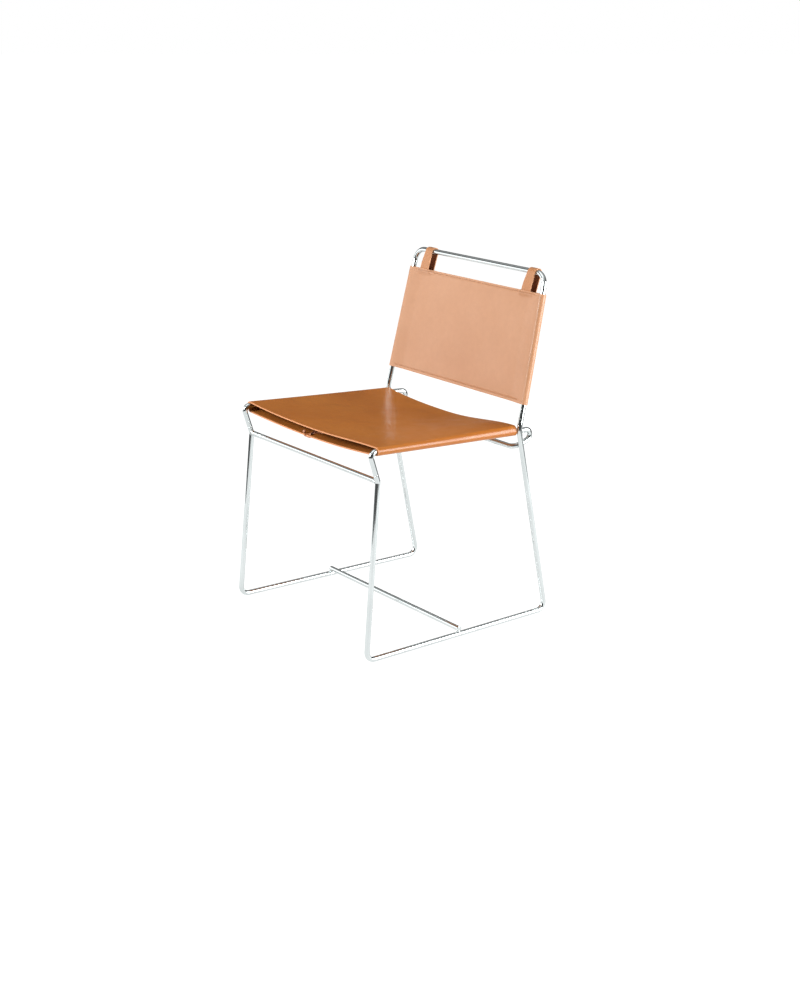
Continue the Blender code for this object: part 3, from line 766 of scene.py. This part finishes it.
def sheet_mesh(rows, closed, from_edge):
    """Loft through rows of points, with each point's distance from the cut edges."""
    mesh = bpy.data.meshes.new("middle_surface")
    width = len(rows[0])
    faces = []
    for row in range(len(rows) - 1):
        for column in range(width if closed else width - 1):
            following = (column + 1) % width
            low, high = row * width, (row + 1) * width
            faces.append((low + column, low + following, high + following, high + column))
    mesh.from_pydata([tuple(p) for row in rows for p in row], [], faces)
    layer = mesh.attributes.new("from_edge", "FLOAT", "POINT")
    layer.data.foreach_set("value", [v for row in from_edge for v in row])
    mesh.update()
    return mesh


def settle(mesh, thickness, edge_round, leather, flesh):
    """Thickness and rounded edges, applied to a plain mesh; the inner side shows its flesh."""
    sheet = place_piece("working_sheet", mesh)
    mesh.materials.append(leather)
    mesh.materials.append(flesh)
    solid = sheet.modifiers.new("Thickness", "SOLIDIFY")
    solid.thickness = thickness
    solid.offset = 0.0
    solid.use_even_offset = True
    solid.material_offset = 1
    soft = sheet.modifiers.new("Slicked edges", "BEVEL")
    soft.width = edge_round
    soft.segments = 3
    soft.limit_method = "ANGLE"
    soft.angle_limit = radians(50)
    made = plain_mesh(sheet)
    outward_faces(made)
    made.shade_smooth()
    made.set_sharp_from_angle(angle=radians(50))
    return made


def steps_with_fine_ends(start, end, count, fine=(0.0006, 0.0014, 0.0026, 0.0045, 0.0075)):
    """Even places from start to end, with a few close ones beside each end."""
    low = [start] + [start + f for f in fine]
    high = [end - f for f in reversed(fine)] + [end]
    return low + spread(low[-1], high[0], count)[1:-1] + high


# %% [markdown]
# ## Seat sling
#
# One sheet lies across the seat, turns down round each rail and comes back underneath as two
# flaps, whose edges nearly meet left of the middle. The top sags a little between the rails. The
# left wrap hangs a little loose, and the right one is snug and stands up towards the rear. The
# section is worked out at each place from front to rear, and the sheet is lofted through them.

# %% Front and rear edges of the sling
def curl_end_y():
    ahead = rail_centre(RIGHT, CROSSING[1])
    turn = turn_angle(side_point(RIGHT, KNEE), side_point(RIGHT, CURL), ahead)
    return toward(side_point(RIGHT, CURL), ahead, CURL_RADIUS * tan(turn / 2)).y


SLING_FRONT = curl_end_y() + SLING_END_ROOM
SLING_REAR = CROSSING[1] + crossing_setback() - ROD_RADIUS - SLING_END_ROOM
SNUG = ROD_RADIUS + CLEARANCE + SLING_THICKNESS / 2
print("sling runs from y", round(SLING_FRONT, 4), "to", round(SLING_REAR, 4))


def sling_share(y):
    return (y - SLING_FRONT) / (SLING_REAR - SLING_FRONT)


# %% Section of the sling
def wrap_across(y):
    return SNUG + lerp(SLING_EASE[0], SLING_EASE[1], sling_share(y))


def wrap_up(side, y):
    return SNUG + SLING_RISE[side] * sling_share(y) ** 2


def wrap_down(side, y):
    return SNUG + (lerp(LEFT_SLACK[0], LEFT_SLACK[1], sling_share(y)) if side == LEFT else 0.0)


def middle_height(y):
    return rail_centre(RIGHT, y).z + SNUG - lerp(SLING_SAG[0], SLING_SAG[1], sling_share(y))


def seam_height(y):
    return rail_centre(RIGHT, y).z - SNUG - SEAM_SAG


def flap_edge_x(side):
    return SEAM_X + side * SEAM_GAP / 2


def leave_angle(slope, across, upright):
    return atan(slope * across / upright)


def flap_start(side, y):
    rail = rail_centre(RIGHT, y)
    span = rail.x - side * flap_edge_x(side)
    drop = rail.z - wrap_down(side, y) - seam_height(y)
    leave = leave_angle(2 * drop / span, wrap_across(y), wrap_down(side, y))
    return rail.x + wrap_across(y) * sin(leave), rail.z - wrap_down(side, y) * cos(leave), leave


def flap_height(side, x, y):
    start_x, start_height, _ = flap_start(side, y)
    inward = (start_x - side * x) / (start_x - side * flap_edge_x(side))
    return start_height - (start_height - seam_height(y)) * (1 - (1 - inward) ** 2)


def top_start(side, y):
    rail = rail_centre(RIGHT, y)
    depth = rail.z + wrap_up(side, y) - middle_height(y)
    slope = 2 * depth * (1 - SHOULDER[side]) / rail.x
    leave = leave_angle(slope, wrap_across(y), wrap_up(side, y))
    return rail.x - wrap_across(y) * sin(leave), rail.z + wrap_up(side, y) * cos(leave), leave


def top_height(side, share, y):
    start_height = top_start(side, y)[1]
    fall = (1 - share ** 2) * (1 - SHOULDER[side] * share ** 2)
    return start_height - (start_height - middle_height(y)) * fall


# %% Points of one half section
FLAP_PLACES = steps_with_fine_ends(0.0, 1.0, 22, fine=(0.0026, 0.0062, 0.0115, 0.020))
WRAP_STEPS, TOP_STEPS, SLING_STEPS = 28, 36, 56


def half_section(side, y):
    """Middle surface from a flap's free edge, round the rail, to the middle of the top."""
    flap_x, _, flap_leave = flap_start(side, y)
    top_x, _, top_leave = top_start(side, y)
    rail = rail_centre(RIGHT, y)
    points = []
    for place in FLAP_PLACES[:-1]:
        x = side * lerp(side * flap_edge_x(side), flap_x, place)
        points.append(Vector((x, y, flap_height(side, x, y))))
    for angle in spread(flap_leave - pi / 2, pi / 2 + top_leave, WRAP_STEPS):
        upright = wrap_up(side, y) if angle > 0 else wrap_down(side, y)
        x = side * (rail.x + wrap_across(y) * cos(angle))
        points.append(Vector((x, y, rail.z + upright * sin(angle))))
    for share in spread(1.0, 0.0, TOP_STEPS)[1:]:
        points.append(Vector((side * top_x * share, y, top_height(side, share, y))))
    return points


# %% The sling's middle surface
def sling_rows():
    rows, edges = [], []
    for y in steps_with_fine_ends(SLING_FRONT, SLING_REAR, SLING_STEPS):
        left, right = half_section(LEFT, y), half_section(RIGHT, y)
        row = left + right[-2::-1]
        to_end = min(y - SLING_FRONT, SLING_REAR - y)
        lengths = [0.0]
        for before, after in zip(row, row[1:]):
            lengths.append(lengths[-1] + (after - before).length)
        rows.append(row)
        edges.append([min(to_end, s, lengths[-1] - s) for s in lengths])
    return rows, edges


rows, edges = sling_rows()
sling_middle = sheet_mesh(rows, False, edges)

# %% [markdown]
# ## Lace holes
#
# Thirteen pairs of punched holes run along the two free edges. They are cut with a Boolean from
# the finished sheet, because a punch also leaves a clean, sharp wall.

# %% Punch the lace holes
def hole_x(side):
    return flap_edge_x(side) + side * LACE_HOLE_INSET


first_hole, last_hole = SLING_FRONT + LACE_END_INSET, SLING_REAR - LACE_END_INSET
HOLE_YS = spread(first_hole, last_hole, LACE_HOLES - 1)


def punch_holes(leather_mesh):
    punches = bmesh.new()
    for side in (LEFT, RIGHT):
        for y in HOLE_YS:
            x = hole_x(side)
            place = Matrix.Translation((x, y, flap_height(side, x, y)))
            bmesh.ops.create_cone(
                punches, cap_ends=True, segments=20, radius1=LACE_RADIUS + CLEARANCE,
                radius2=LACE_RADIUS + CLEARANCE, depth=3 * SLING_THICKNESS, matrix=place,
            )
    punch_mesh = bpy.data.meshes.new("punches")
    punches.to_mesh(punch_mesh)
    punches.free()
    punch = place_piece("punches", punch_mesh)
    sheet = place_piece("working_sheet", leather_mesh)
    cut = sheet.modifiers.new("Holes", "BOOLEAN")
    cut.operation = "DIFFERENCE"
    cut.object = punch
    made = plain_mesh(sheet)
    bpy.data.objects.remove(punch, do_unlink=True)
    return made


sling_solid = settle(sling_middle, SLING_THICKNESS, SHEET_EDGE_ROUND, SEAT_LEATHER, SEAT_FLESH)
punched = punch_holes(sling_solid)
while len(punched.materials) > 2:
    punched.materials.pop()
punched.set_sharp_from_angle(angle=radians(50))
seat_sling = place_piece("seat_sling_leather", punched)
print("sling faces:", len(seat_sling.data.polygons))

# %% [markdown]
# ## Lace
#
# A round leather lace draws the two edges together. It goes down a hole on the left, across under
# the gap, up the hole on the right, and slants back above to the next hole on the left. It ends in
# a small knot at each end. It is threaded, so it is a fixed path and not a free cord.

# %% Path of the lace
def lace_place(side, x, y, level):
    offset = SLING_THICKNESS / 2 + CLEARANCE + LACE_RADIUS
    return Vector((x, y, flap_height(side, x, y) + level * offset))


def lace_corners():
    left_x, right_x = hole_x(LEFT), hole_x(RIGHT)
    left_edge, right_edge = flap_edge_x(LEFT), flap_edge_x(RIGHT)
    corners = []
    for index, y in enumerate(HOLE_YS):
        if index > 0:
            corners.append((lace_place(LEFT, left_x, y, 1), LACE_BEND_RADIUS))
        corners.append((lace_place(LEFT, left_x, y, -1), LACE_BEND_RADIUS))
        corners.append((lace_place(LEFT, left_edge, y, -1), 0))
        corners.append((lace_place(RIGHT, right_x, y, -1), LACE_BEND_RADIUS))
        if index < LACE_HOLES - 1:
            corners.append((lace_place(RIGHT, right_x, y, 1), LACE_BEND_RADIUS))
            share = (right_x - right_edge) / (right_x - left_x)
            edge_y = lerp(y, HOLE_YS[index + 1], share)
            corners.append((lace_place(RIGHT, right_edge, edge_y, 1), 0))
    return corners


KNOT_STEPS, KNOT_TURNS, KNOT_REACH, KNOT_HEIGHT = 44, 2.2, 0.0021, 0.0040


def knot_mesh(side, y):
    """Stopper knot: two turns of the lace round itself, with its end standing out on top."""
    x = hole_x(side)
    base = flap_height(side, x, y) + SLING_THICKNESS / 2 + CLEARANCE
    coil = []
    for step in range(KNOT_STEPS + 1):
        angle = 2 * pi * KNOT_TURNS * step / KNOT_STEPS
        reach = KNOT_REACH * sin(pi * min(step / KNOT_STEPS * 0.9 + 0.10, 1.0)) ** 0.5
        height = base + 0.0018 + KNOT_HEIGHT * step / KNOT_STEPS
        coil.append((Vector((x + reach * cos(angle), y + reach * sin(angle), height)), 0))
    stub = [(Vector((x, y, base - 0.0010)), 0), (Vector((x, y, base + 0.0072)), 0)]
    return [sweep(coil, 0.0016, 12, 1, LACE_LEATHER), sweep(stub, 0.0017, 12, 1, LACE_LEATHER)]


# %% Draw the lace
def lace_end(side, y):
    x = hole_x(side)
    return Vector((x, y, flap_height(side, x, y) + LACE_END_HEIGHT)), 0


run = [lace_end(LEFT, HOLE_YS[0])] + lace_corners() + [lace_end(RIGHT, HOLE_YS[-1])]
lace_length = run_length([corner for corner, _ in run])
lace = sweep(run, LACE_RADIUS, 16, 6, LACE_LEATHER)
knots = knot_mesh(LEFT, HOLE_YS[0]) + knot_mesh(RIGHT, HOLE_YS[-1])
seat_lace = join_meshes("seat_lace_leather", [lace] + knots)
ends = seat_lace.data.attributes.new("from_edge", "FLOAT", "POINT")
ends.data.foreach_set("value", [0.02] * len(seat_lace.data.vertices))
print("lace length between the knots:", round(lace_length, 3), "m")

# %% [markdown]
# ## Back sleeve
#
# The back is a sleeve of one sheet. Over the uprights it is round; between them its front and rear
# layers are drawn close together. A row of stitches near the top edge and one near the bottom edge
# hold the layers, and the straps that enter at the top push them apart a little.
# The sleeve is made in the slope of the back: across, towards the back, and up the slope.

# %% Slope of the back
LEAN = atan((TOP[1] - CROSSING[1]) / (TOP[2] - CROSSING[2]))
HOOP_HEIGHT = hypot(TOP[1] - CROSSING[1], TOP[2] - CROSSING[2])
SLEEVE_TOP = HOOP_HEIGHT - SLEEVE_DROP
SLEEVE_BOTTOM = SLEEVE_TOP - SLEEVE_HEIGHT
ROD_PLY = ROD_RADIUS + CLEARANCE + SLEEVE_THICKNESS / 2
slope_to_world = Matrix.Translation((0, CROSSING[1], CROSSING[2])) @ Matrix.Rotation(-LEAN, 4, "X")


def hoop_half_width(up):
    return lerp(CROSSING[0], TOP[0], up / HOOP_HEIGHT)


def strap_centre_x():
    climb = side_point(RIGHT, TOP) - side_point(RIGHT, CROSSING)
    corner_length = TOP_RADIUS * tan(climb.angle(Vector((-1, 0, 0))) / 2)
    return TOP[0] - corner_length - STRAP_INSET - STRAP_WIDTH / 2


STRAP_X = strap_centre_x()
STRAP_RADIUS = ROD_RADIUS + CLEARANCE + STRAP_EASE + STRAP_THICKNESS / 2
print("slope of the back:", round(LEAN, 4), "rad; straps at x", round(STRAP_X, 4))

# %% Layers of the sleeve
STITCH_TOP = SLEEVE_TOP - 0.0046
STITCH_BOTTOM = SLEEVE_BOTTOM + 0.0064
STITCH_DEPTH, STITCH_GROOVE = 0.0010, 0.0026
SWELL_ASIDE, SWELL_BELOW_FRONT, SWELL_BELOW_REAR = 0.020, 0.016, 0.050


def strap_share(x, up, face):
    """How much a strap pushes a layer out: far down behind, only at the top edge in front."""
    aside = abs(abs(x) - STRAP_X) - STRAP_WIDTH / 2 - STRAP_SIDE_ROOM
    if face < 0:
        down = (SLEEVE_TOP - up) / SWELL_BELOW_FRONT
    else:
        down = (SLEEVE_TOP - STRAP_TUCK - STRAP_SIDE_ROOM - up) / SWELL_BELOW_REAR
    return smoothstep(1 - aside / SWELL_ASIDE) * smoothstep(1 - down)


def stitch_pull(x, up):
    """How much a row of stitches draws a layer in, strongest on the row itself."""
    near = max(smoothstep(1 - abs(up - row) / STITCH_GROOVE) for row in (STITCH_TOP, STITCH_BOTTOM))
    return STITCH_DEPTH * near * smoothstep((hoop_half_width(up) - 0.012 - abs(x)) / 0.006)


def layer_offset(x, up, face):
    share = (up - SLEEVE_BOTTOM) / SLEEVE_HEIGHT
    gap = lerp(PLY_GAP[0], PLY_GAP[1], sin(pi * min(max(share, 0), 1)))
    inward = (hoop_half_width(up) - abs(x)) / SLEEVE_DRAW_WIDTH
    plain = face * lerp(ROD_PLY, (gap + SLEEVE_THICKNESS) / 2, smoothstep(inward))
    strap_face = STRAP_RADIUS + STRAP_THICKNESS / 2 + CLEARANCE + SLEEVE_THICKNESS / 2
    over_strap = STRAP_SHIFT + face * strap_face
    return lerp(plain, over_strap, strap_share(x, up, face)) - face * stitch_pull(x, up)


# %% The sleeve's middle surface
SLEEVE_TURN_STEPS, SLEEVE_LEVELS = 20, 44
FINE_LEVELS = (0.0006, 0.0014, 0.0024, 0.0034, 0.0044, 0.0054, 0.0064, 0.0074, 0.0088, 0.011)


def sleeve_xs(up):
    edge = hoop_half_width(up)
    reach = STRAP_WIDTH / 2 + STRAP_SIDE_ROOM
    swell = STRAP_X - reach - SWELL_ASIDE
    inner = spread(0.0, swell, 12)[:-1]
    strap = spread(swell, STRAP_X + reach, 22)[:-1]
    return inner + strap + spread(STRAP_X + reach, edge, 14)


def sleeve_row(up):
    xs = sleeve_xs(up)
    across = [-x for x in reversed(xs)] + xs[1:]
    row = [Vector((x, layer_offset(x, up, -1), up)) for x in across]
    for side in (RIGHT, LEFT):
        for turned in spread(-pi / 2, pi / 2, SLEEVE_TURN_STEPS)[1:-1]:
            angle = side * turned
            row.append(Vector((side * (xs[-1] + ROD_PLY * cos(angle)), ROD_PLY * sin(angle), up)))
        if side == RIGHT:
            row += [Vector((x, layer_offset(x, up, 1), up)) for x in reversed(across)]
    return row


levels = steps_with_fine_ends(SLEEVE_BOTTOM, SLEEVE_TOP, SLEEVE_LEVELS, fine=FINE_LEVELS)
rows = [[slope_to_world @ p for p in sleeve_row(up)] for up in levels]
edges = [[min(up - SLEEVE_BOTTOM, SLEEVE_TOP - up)] * len(rows[0]) for up in levels]
sleeve_middle = sheet_mesh(rows, True, edges)
sleeve_solid = settle(sleeve_middle, SLEEVE_THICKNESS, SHEET_EDGE_ROUND, BACK_LEATHER_PAINTED_SHEEN, BACK_FLESH_PAINTED_SHADE)
back_sleeve = place_piece("back_sleeve_leather", sleeve_solid)

# %% [markdown]
# ## Stitches
#
# Each row is the same stitch again and again along a line, so Geometry Nodes make them: points are
# spread along a guide line at the stitch length, and a small drop of thread is set on each one,
# turned along the line and lying on the leather.

# %% Thread material
def make_thread():
    material, tree, shader, places = start_material("tan_thread")
    twist = noise(tree, places, 2200.0, 2.0, 0.5, stretch=(1.0, 1.0, 0.4))
    tint = clouded(tree, twist, 0.3, 0.7, (0.15, 0.055, 0.024), (0.26, 0.105, 0.050))
    dullness = remap(tree, twist, 0.3, 0.7, 0.55, 0.75)
    wire_shader(tree, shader, tint, dullness, bump(tree, twist, 0.0003, 0.5))
    return material


THREAD = make_thread()
STITCH_LENGTH = 0.0034
THREAD_SIZE = (0.00145, 0.00050, 0.00036)
print("stitch length:", STITCH_LENGTH)

# %% Stitch tree
stitch_tree, stitch_in, stitch_out = new_geometry_tree(
    "run_of_stitches",
    [("Stitch length", "NodeSocketFloat"), ("Thread size", "NodeSocketVector"),
     ("Finish", "NodeSocketMaterial")],
)
line = add_node(stitch_tree, "GeometryNodeMeshToCurve", Mesh=stitch_in.outputs["Geometry"])
outward = named_value(stitch_tree, "outward", "FLOAT_VECTOR")
spots = add_node(
    stitch_tree, "GeometryNodeCurveToPoints", {"mode": "LENGTH"},
    Curve=line.outputs[0], Length=stitch_in.outputs["Stitch length"],
)
drop = add_node(stitch_tree, "GeometryNodeMeshUVSphere", Segments=8, Rings=5, Radius=1.0)
face_out = add_node(stitch_tree, "FunctionNodeAlignRotationToVector", {"axis": "Z"}, Vector=outward)
along = add_node(
    stitch_tree, "FunctionNodeAlignRotationToVector", {"axis": "X", "pivot_axis": "Z"},
    Rotation=face_out.outputs[0], Vector=spots.outputs["Tangent"],
)
stitches = add_node(
    stitch_tree, "GeometryNodeInstanceOnPoints",
    Points=spots.outputs[0], Instance=drop.outputs[0],
    Rotation=along.outputs[0], Scale=stitch_in.outputs["Thread size"],
)
finish_tree(stitch_tree, stitches.outputs[0], stitch_in.outputs["Finish"], stitch_out)
print("stitch tree nodes:", len(stitch_tree.nodes))


# %% Sew the rows
STITCH_ROW_INSET, GUIDE_STEPS = 0.016, 240


def stitch_row(up, face):
    """Stitches along a guide line on a layer's outer skin, between the uprights."""
    reach = hoop_half_width(up) - STITCH_ROW_INSET
    to_world = slope_to_world.to_3x3()
    places, outs = [], []
    for x in spread(-reach, reach, GUIDE_STEPS):
        skin = layer_offset(x, up, face) + face * (SLEEVE_THICKNESS / 2)
        slope = (layer_offset(x + 0.001, up, face) - layer_offset(x - 0.001, up, face)) / 0.002
        places.append(slope_to_world @ Vector((x, skin, up)))
        outs.append(tuple(to_world @ Vector((-slope, 1, 0)).normalized() * face))
    values = {"Stitch length": STITCH_LENGTH, "Thread size": THREAD_SIZE, "Finish": THREAD}
    return grow(guide_line(places, outward=outs), stitch_tree, values)


rows_of_thread = [stitch_row(up, face) for up in (STITCH_TOP, STITCH_BOTTOM) for face in (-1, 1)]
back_stitching = join_meshes("back_stitching", rows_of_thread)
print("stitching faces:", len(back_stitching.data.polygons))

# %% [markdown]
# ## Straps
#
# Two straps hang the sleeve from the top bar. Each is a plain strip, wide where it enters the
# sleeve and narrower where it goes over the bar. It rests on the bar, a little behind its middle,
# and both its ends are inside the sleeve.

# %% Straps
ARC_BACK = STRAP_EASE * sin(STRAP_HANG_ANGLE)
ARC_HEIGHT = HOOP_HEIGHT - STRAP_EASE * cos(STRAP_HANG_ANGLE)
ARC_STEPS, TUCK_STEPS, RUN_STEPS = 32, 14, 8


def straight_run(start, end, steps):
    """Places between two points of the profile, without the points themselves."""
    return list(zip(spread(start[0], end[0], steps), spread(start[1], end[1], steps)))[1:-1]


def strap_profile():
    """Middle line of a strap from its front end, over the bar, to its rear end: (back, up)."""
    end = SLEEVE_TOP - STRAP_TUCK
    front, rear = STRAP_SHIFT - STRAP_RADIUS, STRAP_SHIFT + STRAP_RADIUS
    arc = []
    for share in spread(1.0, 0.0, ARC_STEPS):
        angle = pi * share
        arc.append((ARC_BACK + STRAP_RADIUS * cos(angle), ARC_HEIGHT + STRAP_RADIUS * sin(angle)))
    profile = [(front, up) for up in spread(end, SLEEVE_TOP, TUCK_STEPS)]
    profile += straight_run((front, SLEEVE_TOP), (arc[0][0], ARC_HEIGHT), RUN_STEPS)
    profile += arc
    profile += straight_run((arc[-1][0], ARC_HEIGHT), (rear, SLEEVE_TOP), RUN_STEPS)
    profile += [(rear, up) for up in spread(SLEEVE_TOP, end, RUN_STEPS)]
    return profile


def strap_mesh(side):
    rows, edges = [], []
    for back, up in strap_profile():
        climb = max(0.0, up - SLEEVE_TOP) / (ARC_HEIGHT - SLEEVE_TOP)
        slide = STRAP_SLIDE * climb
        left = -STRAP_WIDTH / 2 + STRAP_TAPER * smoothstep((climb - 0.25) / 0.85)
        right = STRAP_WIDTH / 2
        row, far = [], []
        for place in steps_with_fine_ends(left, right, 10, fine=(0.0005, 0.0012, 0.0022)):
            x = side * STRAP_X + slide + place
            back_here = back
            if back < 0 and up <= SLEEVE_TOP:
                to_middle = (SLEEVE_THICKNESS + STRAP_THICKNESS) / 2
                back_here = max(back, layer_offset(x, up, -1) + to_middle + CLEARANCE)
            row.append(slope_to_world @ Vector((x, back_here, up)))
            far.append(min(place - left, right - place))
        rows.append(row)
        edges.append(far)
    return sheet_mesh(rows, False, edges)


profile = strap_profile()
strap_length = sum(hypot(b[0] - a[0], b[1] - a[1]) for a, b in zip(profile, profile[1:]))
straps, strap_cuts = {}, {}
for word, side in (("left", LEFT), ("right", RIGHT)):
    middle = strap_mesh(side)
    strap_cuts[word] = (STRAP_WIDTH, strap_length, area_of(middle))
    solid = settle(middle, STRAP_THICKNESS, STRAP_EDGE_ROUND, STRAP_LEATHER_PAINTED_SHEEN, BACK_FLESH_PAINTED_SHADE)
    straps[word] = place_piece(word + "_strap_leather", solid)
print("strap cuts:", strap_cuts)

# %% [markdown]
# ## Hide the solids and attach the pieces
#
# Every finished piece stands for a node of the plain model and moves with the chair's one body.

# %% Hide the solids, attach the pieces
for node, piece in rods.items():
    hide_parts(node)
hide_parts("seat_sling")
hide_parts("seat_lace")
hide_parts("back_sleeve")
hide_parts("left_hanging_loop")
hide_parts("right_hanging_loop")
for piece in [*rods.values(), seat_sling, seat_lace, back_sleeve, back_stitching, *straps.values()]:
    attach(piece, "root")
print("pieces declared:", len(rods) + len(straps) + 4)

# %% [markdown]
# ## Floor and light
#
# The chair stands on a plain white sweep. The main soft light stands high in front. A broad, dim
# one at the left lights the face of the back, one at the right rear lights the near side, and one
# above fills in. Chrome shows whatever surrounds it, so the room is darker than the sweep: that is
# what draws the dark lines along the rods.

# %% Floor
def make_floor_material():
    material, tree, shader, places = start_material("white_sweep")
    cloud = noise(tree, places, 1.5, 3.0)
    tint = mix_colors(tree, cloud, (0.12, 0.12, 0.12), (0.14, 0.14, 0.14))
    dullness = remap(tree, cloud, 0.3, 0.7, 0.80, 0.90)
    paper = bump(tree, noise(tree, places, 300.0, 2.0), 0.0002, 0.1)
    glow = {"Emission_Color": (1.0, 1.0, 1.0, 1.0), "Emission_Strength": 0.96}
    wire_shader(tree, shader, tint, dullness, paper, **glow)
    return material


def make_floor():
    """Flat sheet that widens away from the camera, so that none of its edges is in the picture."""
    mesh = bpy.data.meshes.new("floor")
    near, far, near_wide, far_wide = 2.0, 30.0, 1.0, 9.6
    ahead = Vector((-toward_camera.x, -toward_camera.y, 0)).normalized()
    aside = Vector((-ahead.y, ahead.x, 0))
    corners = [(-near, -near_wide), (far, -far_wide), (far, far_wide), (-near, near_wide)]
    mesh.from_pydata([tuple(ahead * a + aside * b) for a, b in corners], [], [(3, 2, 1, 0)])
    mesh.update()
    if mesh.polygons[0].normal.z < 0:
        mesh.flip_normals()
    mesh.materials.append(make_floor_material())
    return place_piece("floor", mesh)


floor = make_floor()
print("floor corners:", [[round(v, 2) for v in corner.co] for corner in floor.data.vertices])


# %% Lights
def add_soft_light(name, place, target, size, power):
    data = bpy.data.lights.new(name, "AREA")
    data.shape = "RECTANGLE"
    data.size, data.size_y = size
    data.energy = power
    lamp = bpy.data.objects.new(name, data)
    lamp.location = place
    lamp.rotation_euler = (Vector(target) - Vector(place)).to_track_quat("-Z", "Y").to_euler()
    bpy.context.scene.collection.objects.link(lamp)


# Each line gives the place, the point it faces, its width and height, and its watts.
SOFT_LIGHTS = {
    "front_softbox": ((-0.3, -2.75, 1.75), (0, 0.1, 0.5), (1.5, 1.3), 98),
    "overhead_softbox": ((0.0, -0.6, 2.5), (0, 0, 0.4), (1.8, 1.8), 12),
    "right_softbox": ((1.95, 1.35, 0.85), (0, 0, 0.45), (1.5, 1.4), 90),
    "left_softbox": ((-2.15, -1.35, 0.80), (0, 0.1, 0.6), (2.2, 1.4), 18),
}
for name, (place, target, size, power) in SOFT_LIGHTS.items():
    add_soft_light(name, place, target, size, power)
print("soft lights:", list(SOFT_LIGHTS))

# %% Room
world = bpy.data.worlds.new("studio")
bpy.context.scene.world = world
world.use_nodes = True
room = world.node_tree
ground = room.nodes["Background"]
seen = add_node(room, "ShaderNodeLightPath").outputs["Is Camera Ray"]
where = add_node(room, "ShaderNodeTexCoord").outputs["Generated"]
height = add_node(room, "ShaderNodeSeparateXYZ", Vector=where).outputs["Z"]
level = remap(room, height, -1.0, 1.0, 0.0, 1.0)
ramp = add_node(room, "ShaderNodeValToRGB", Fac=level)
walls = [(0.0, 0.60), (0.37, 0.60), (0.42, 0.10), (0.50, 0.07), (0.70, 0.10), (0.84, 0.45)]
while len(ramp.color_ramp.elements) < len(walls):
    ramp.color_ramp.elements.new(0.5)
for stop, (place, grey) in zip(ramp.color_ramp.elements, walls):
    stop.position = place
    stop.color = (grey, grey, grey, 1.0)
shade = mix_colors(room, seen, ramp.outputs["Color"], (1.0, 1.0, 1.0))
room.links.new(shade, ground.inputs["Color"])
bpy.context.scene.view_settings.view_transform = "Standard"
print("room: white to the camera, grey walls in reflections, stops at", [place for place, _ in walls])
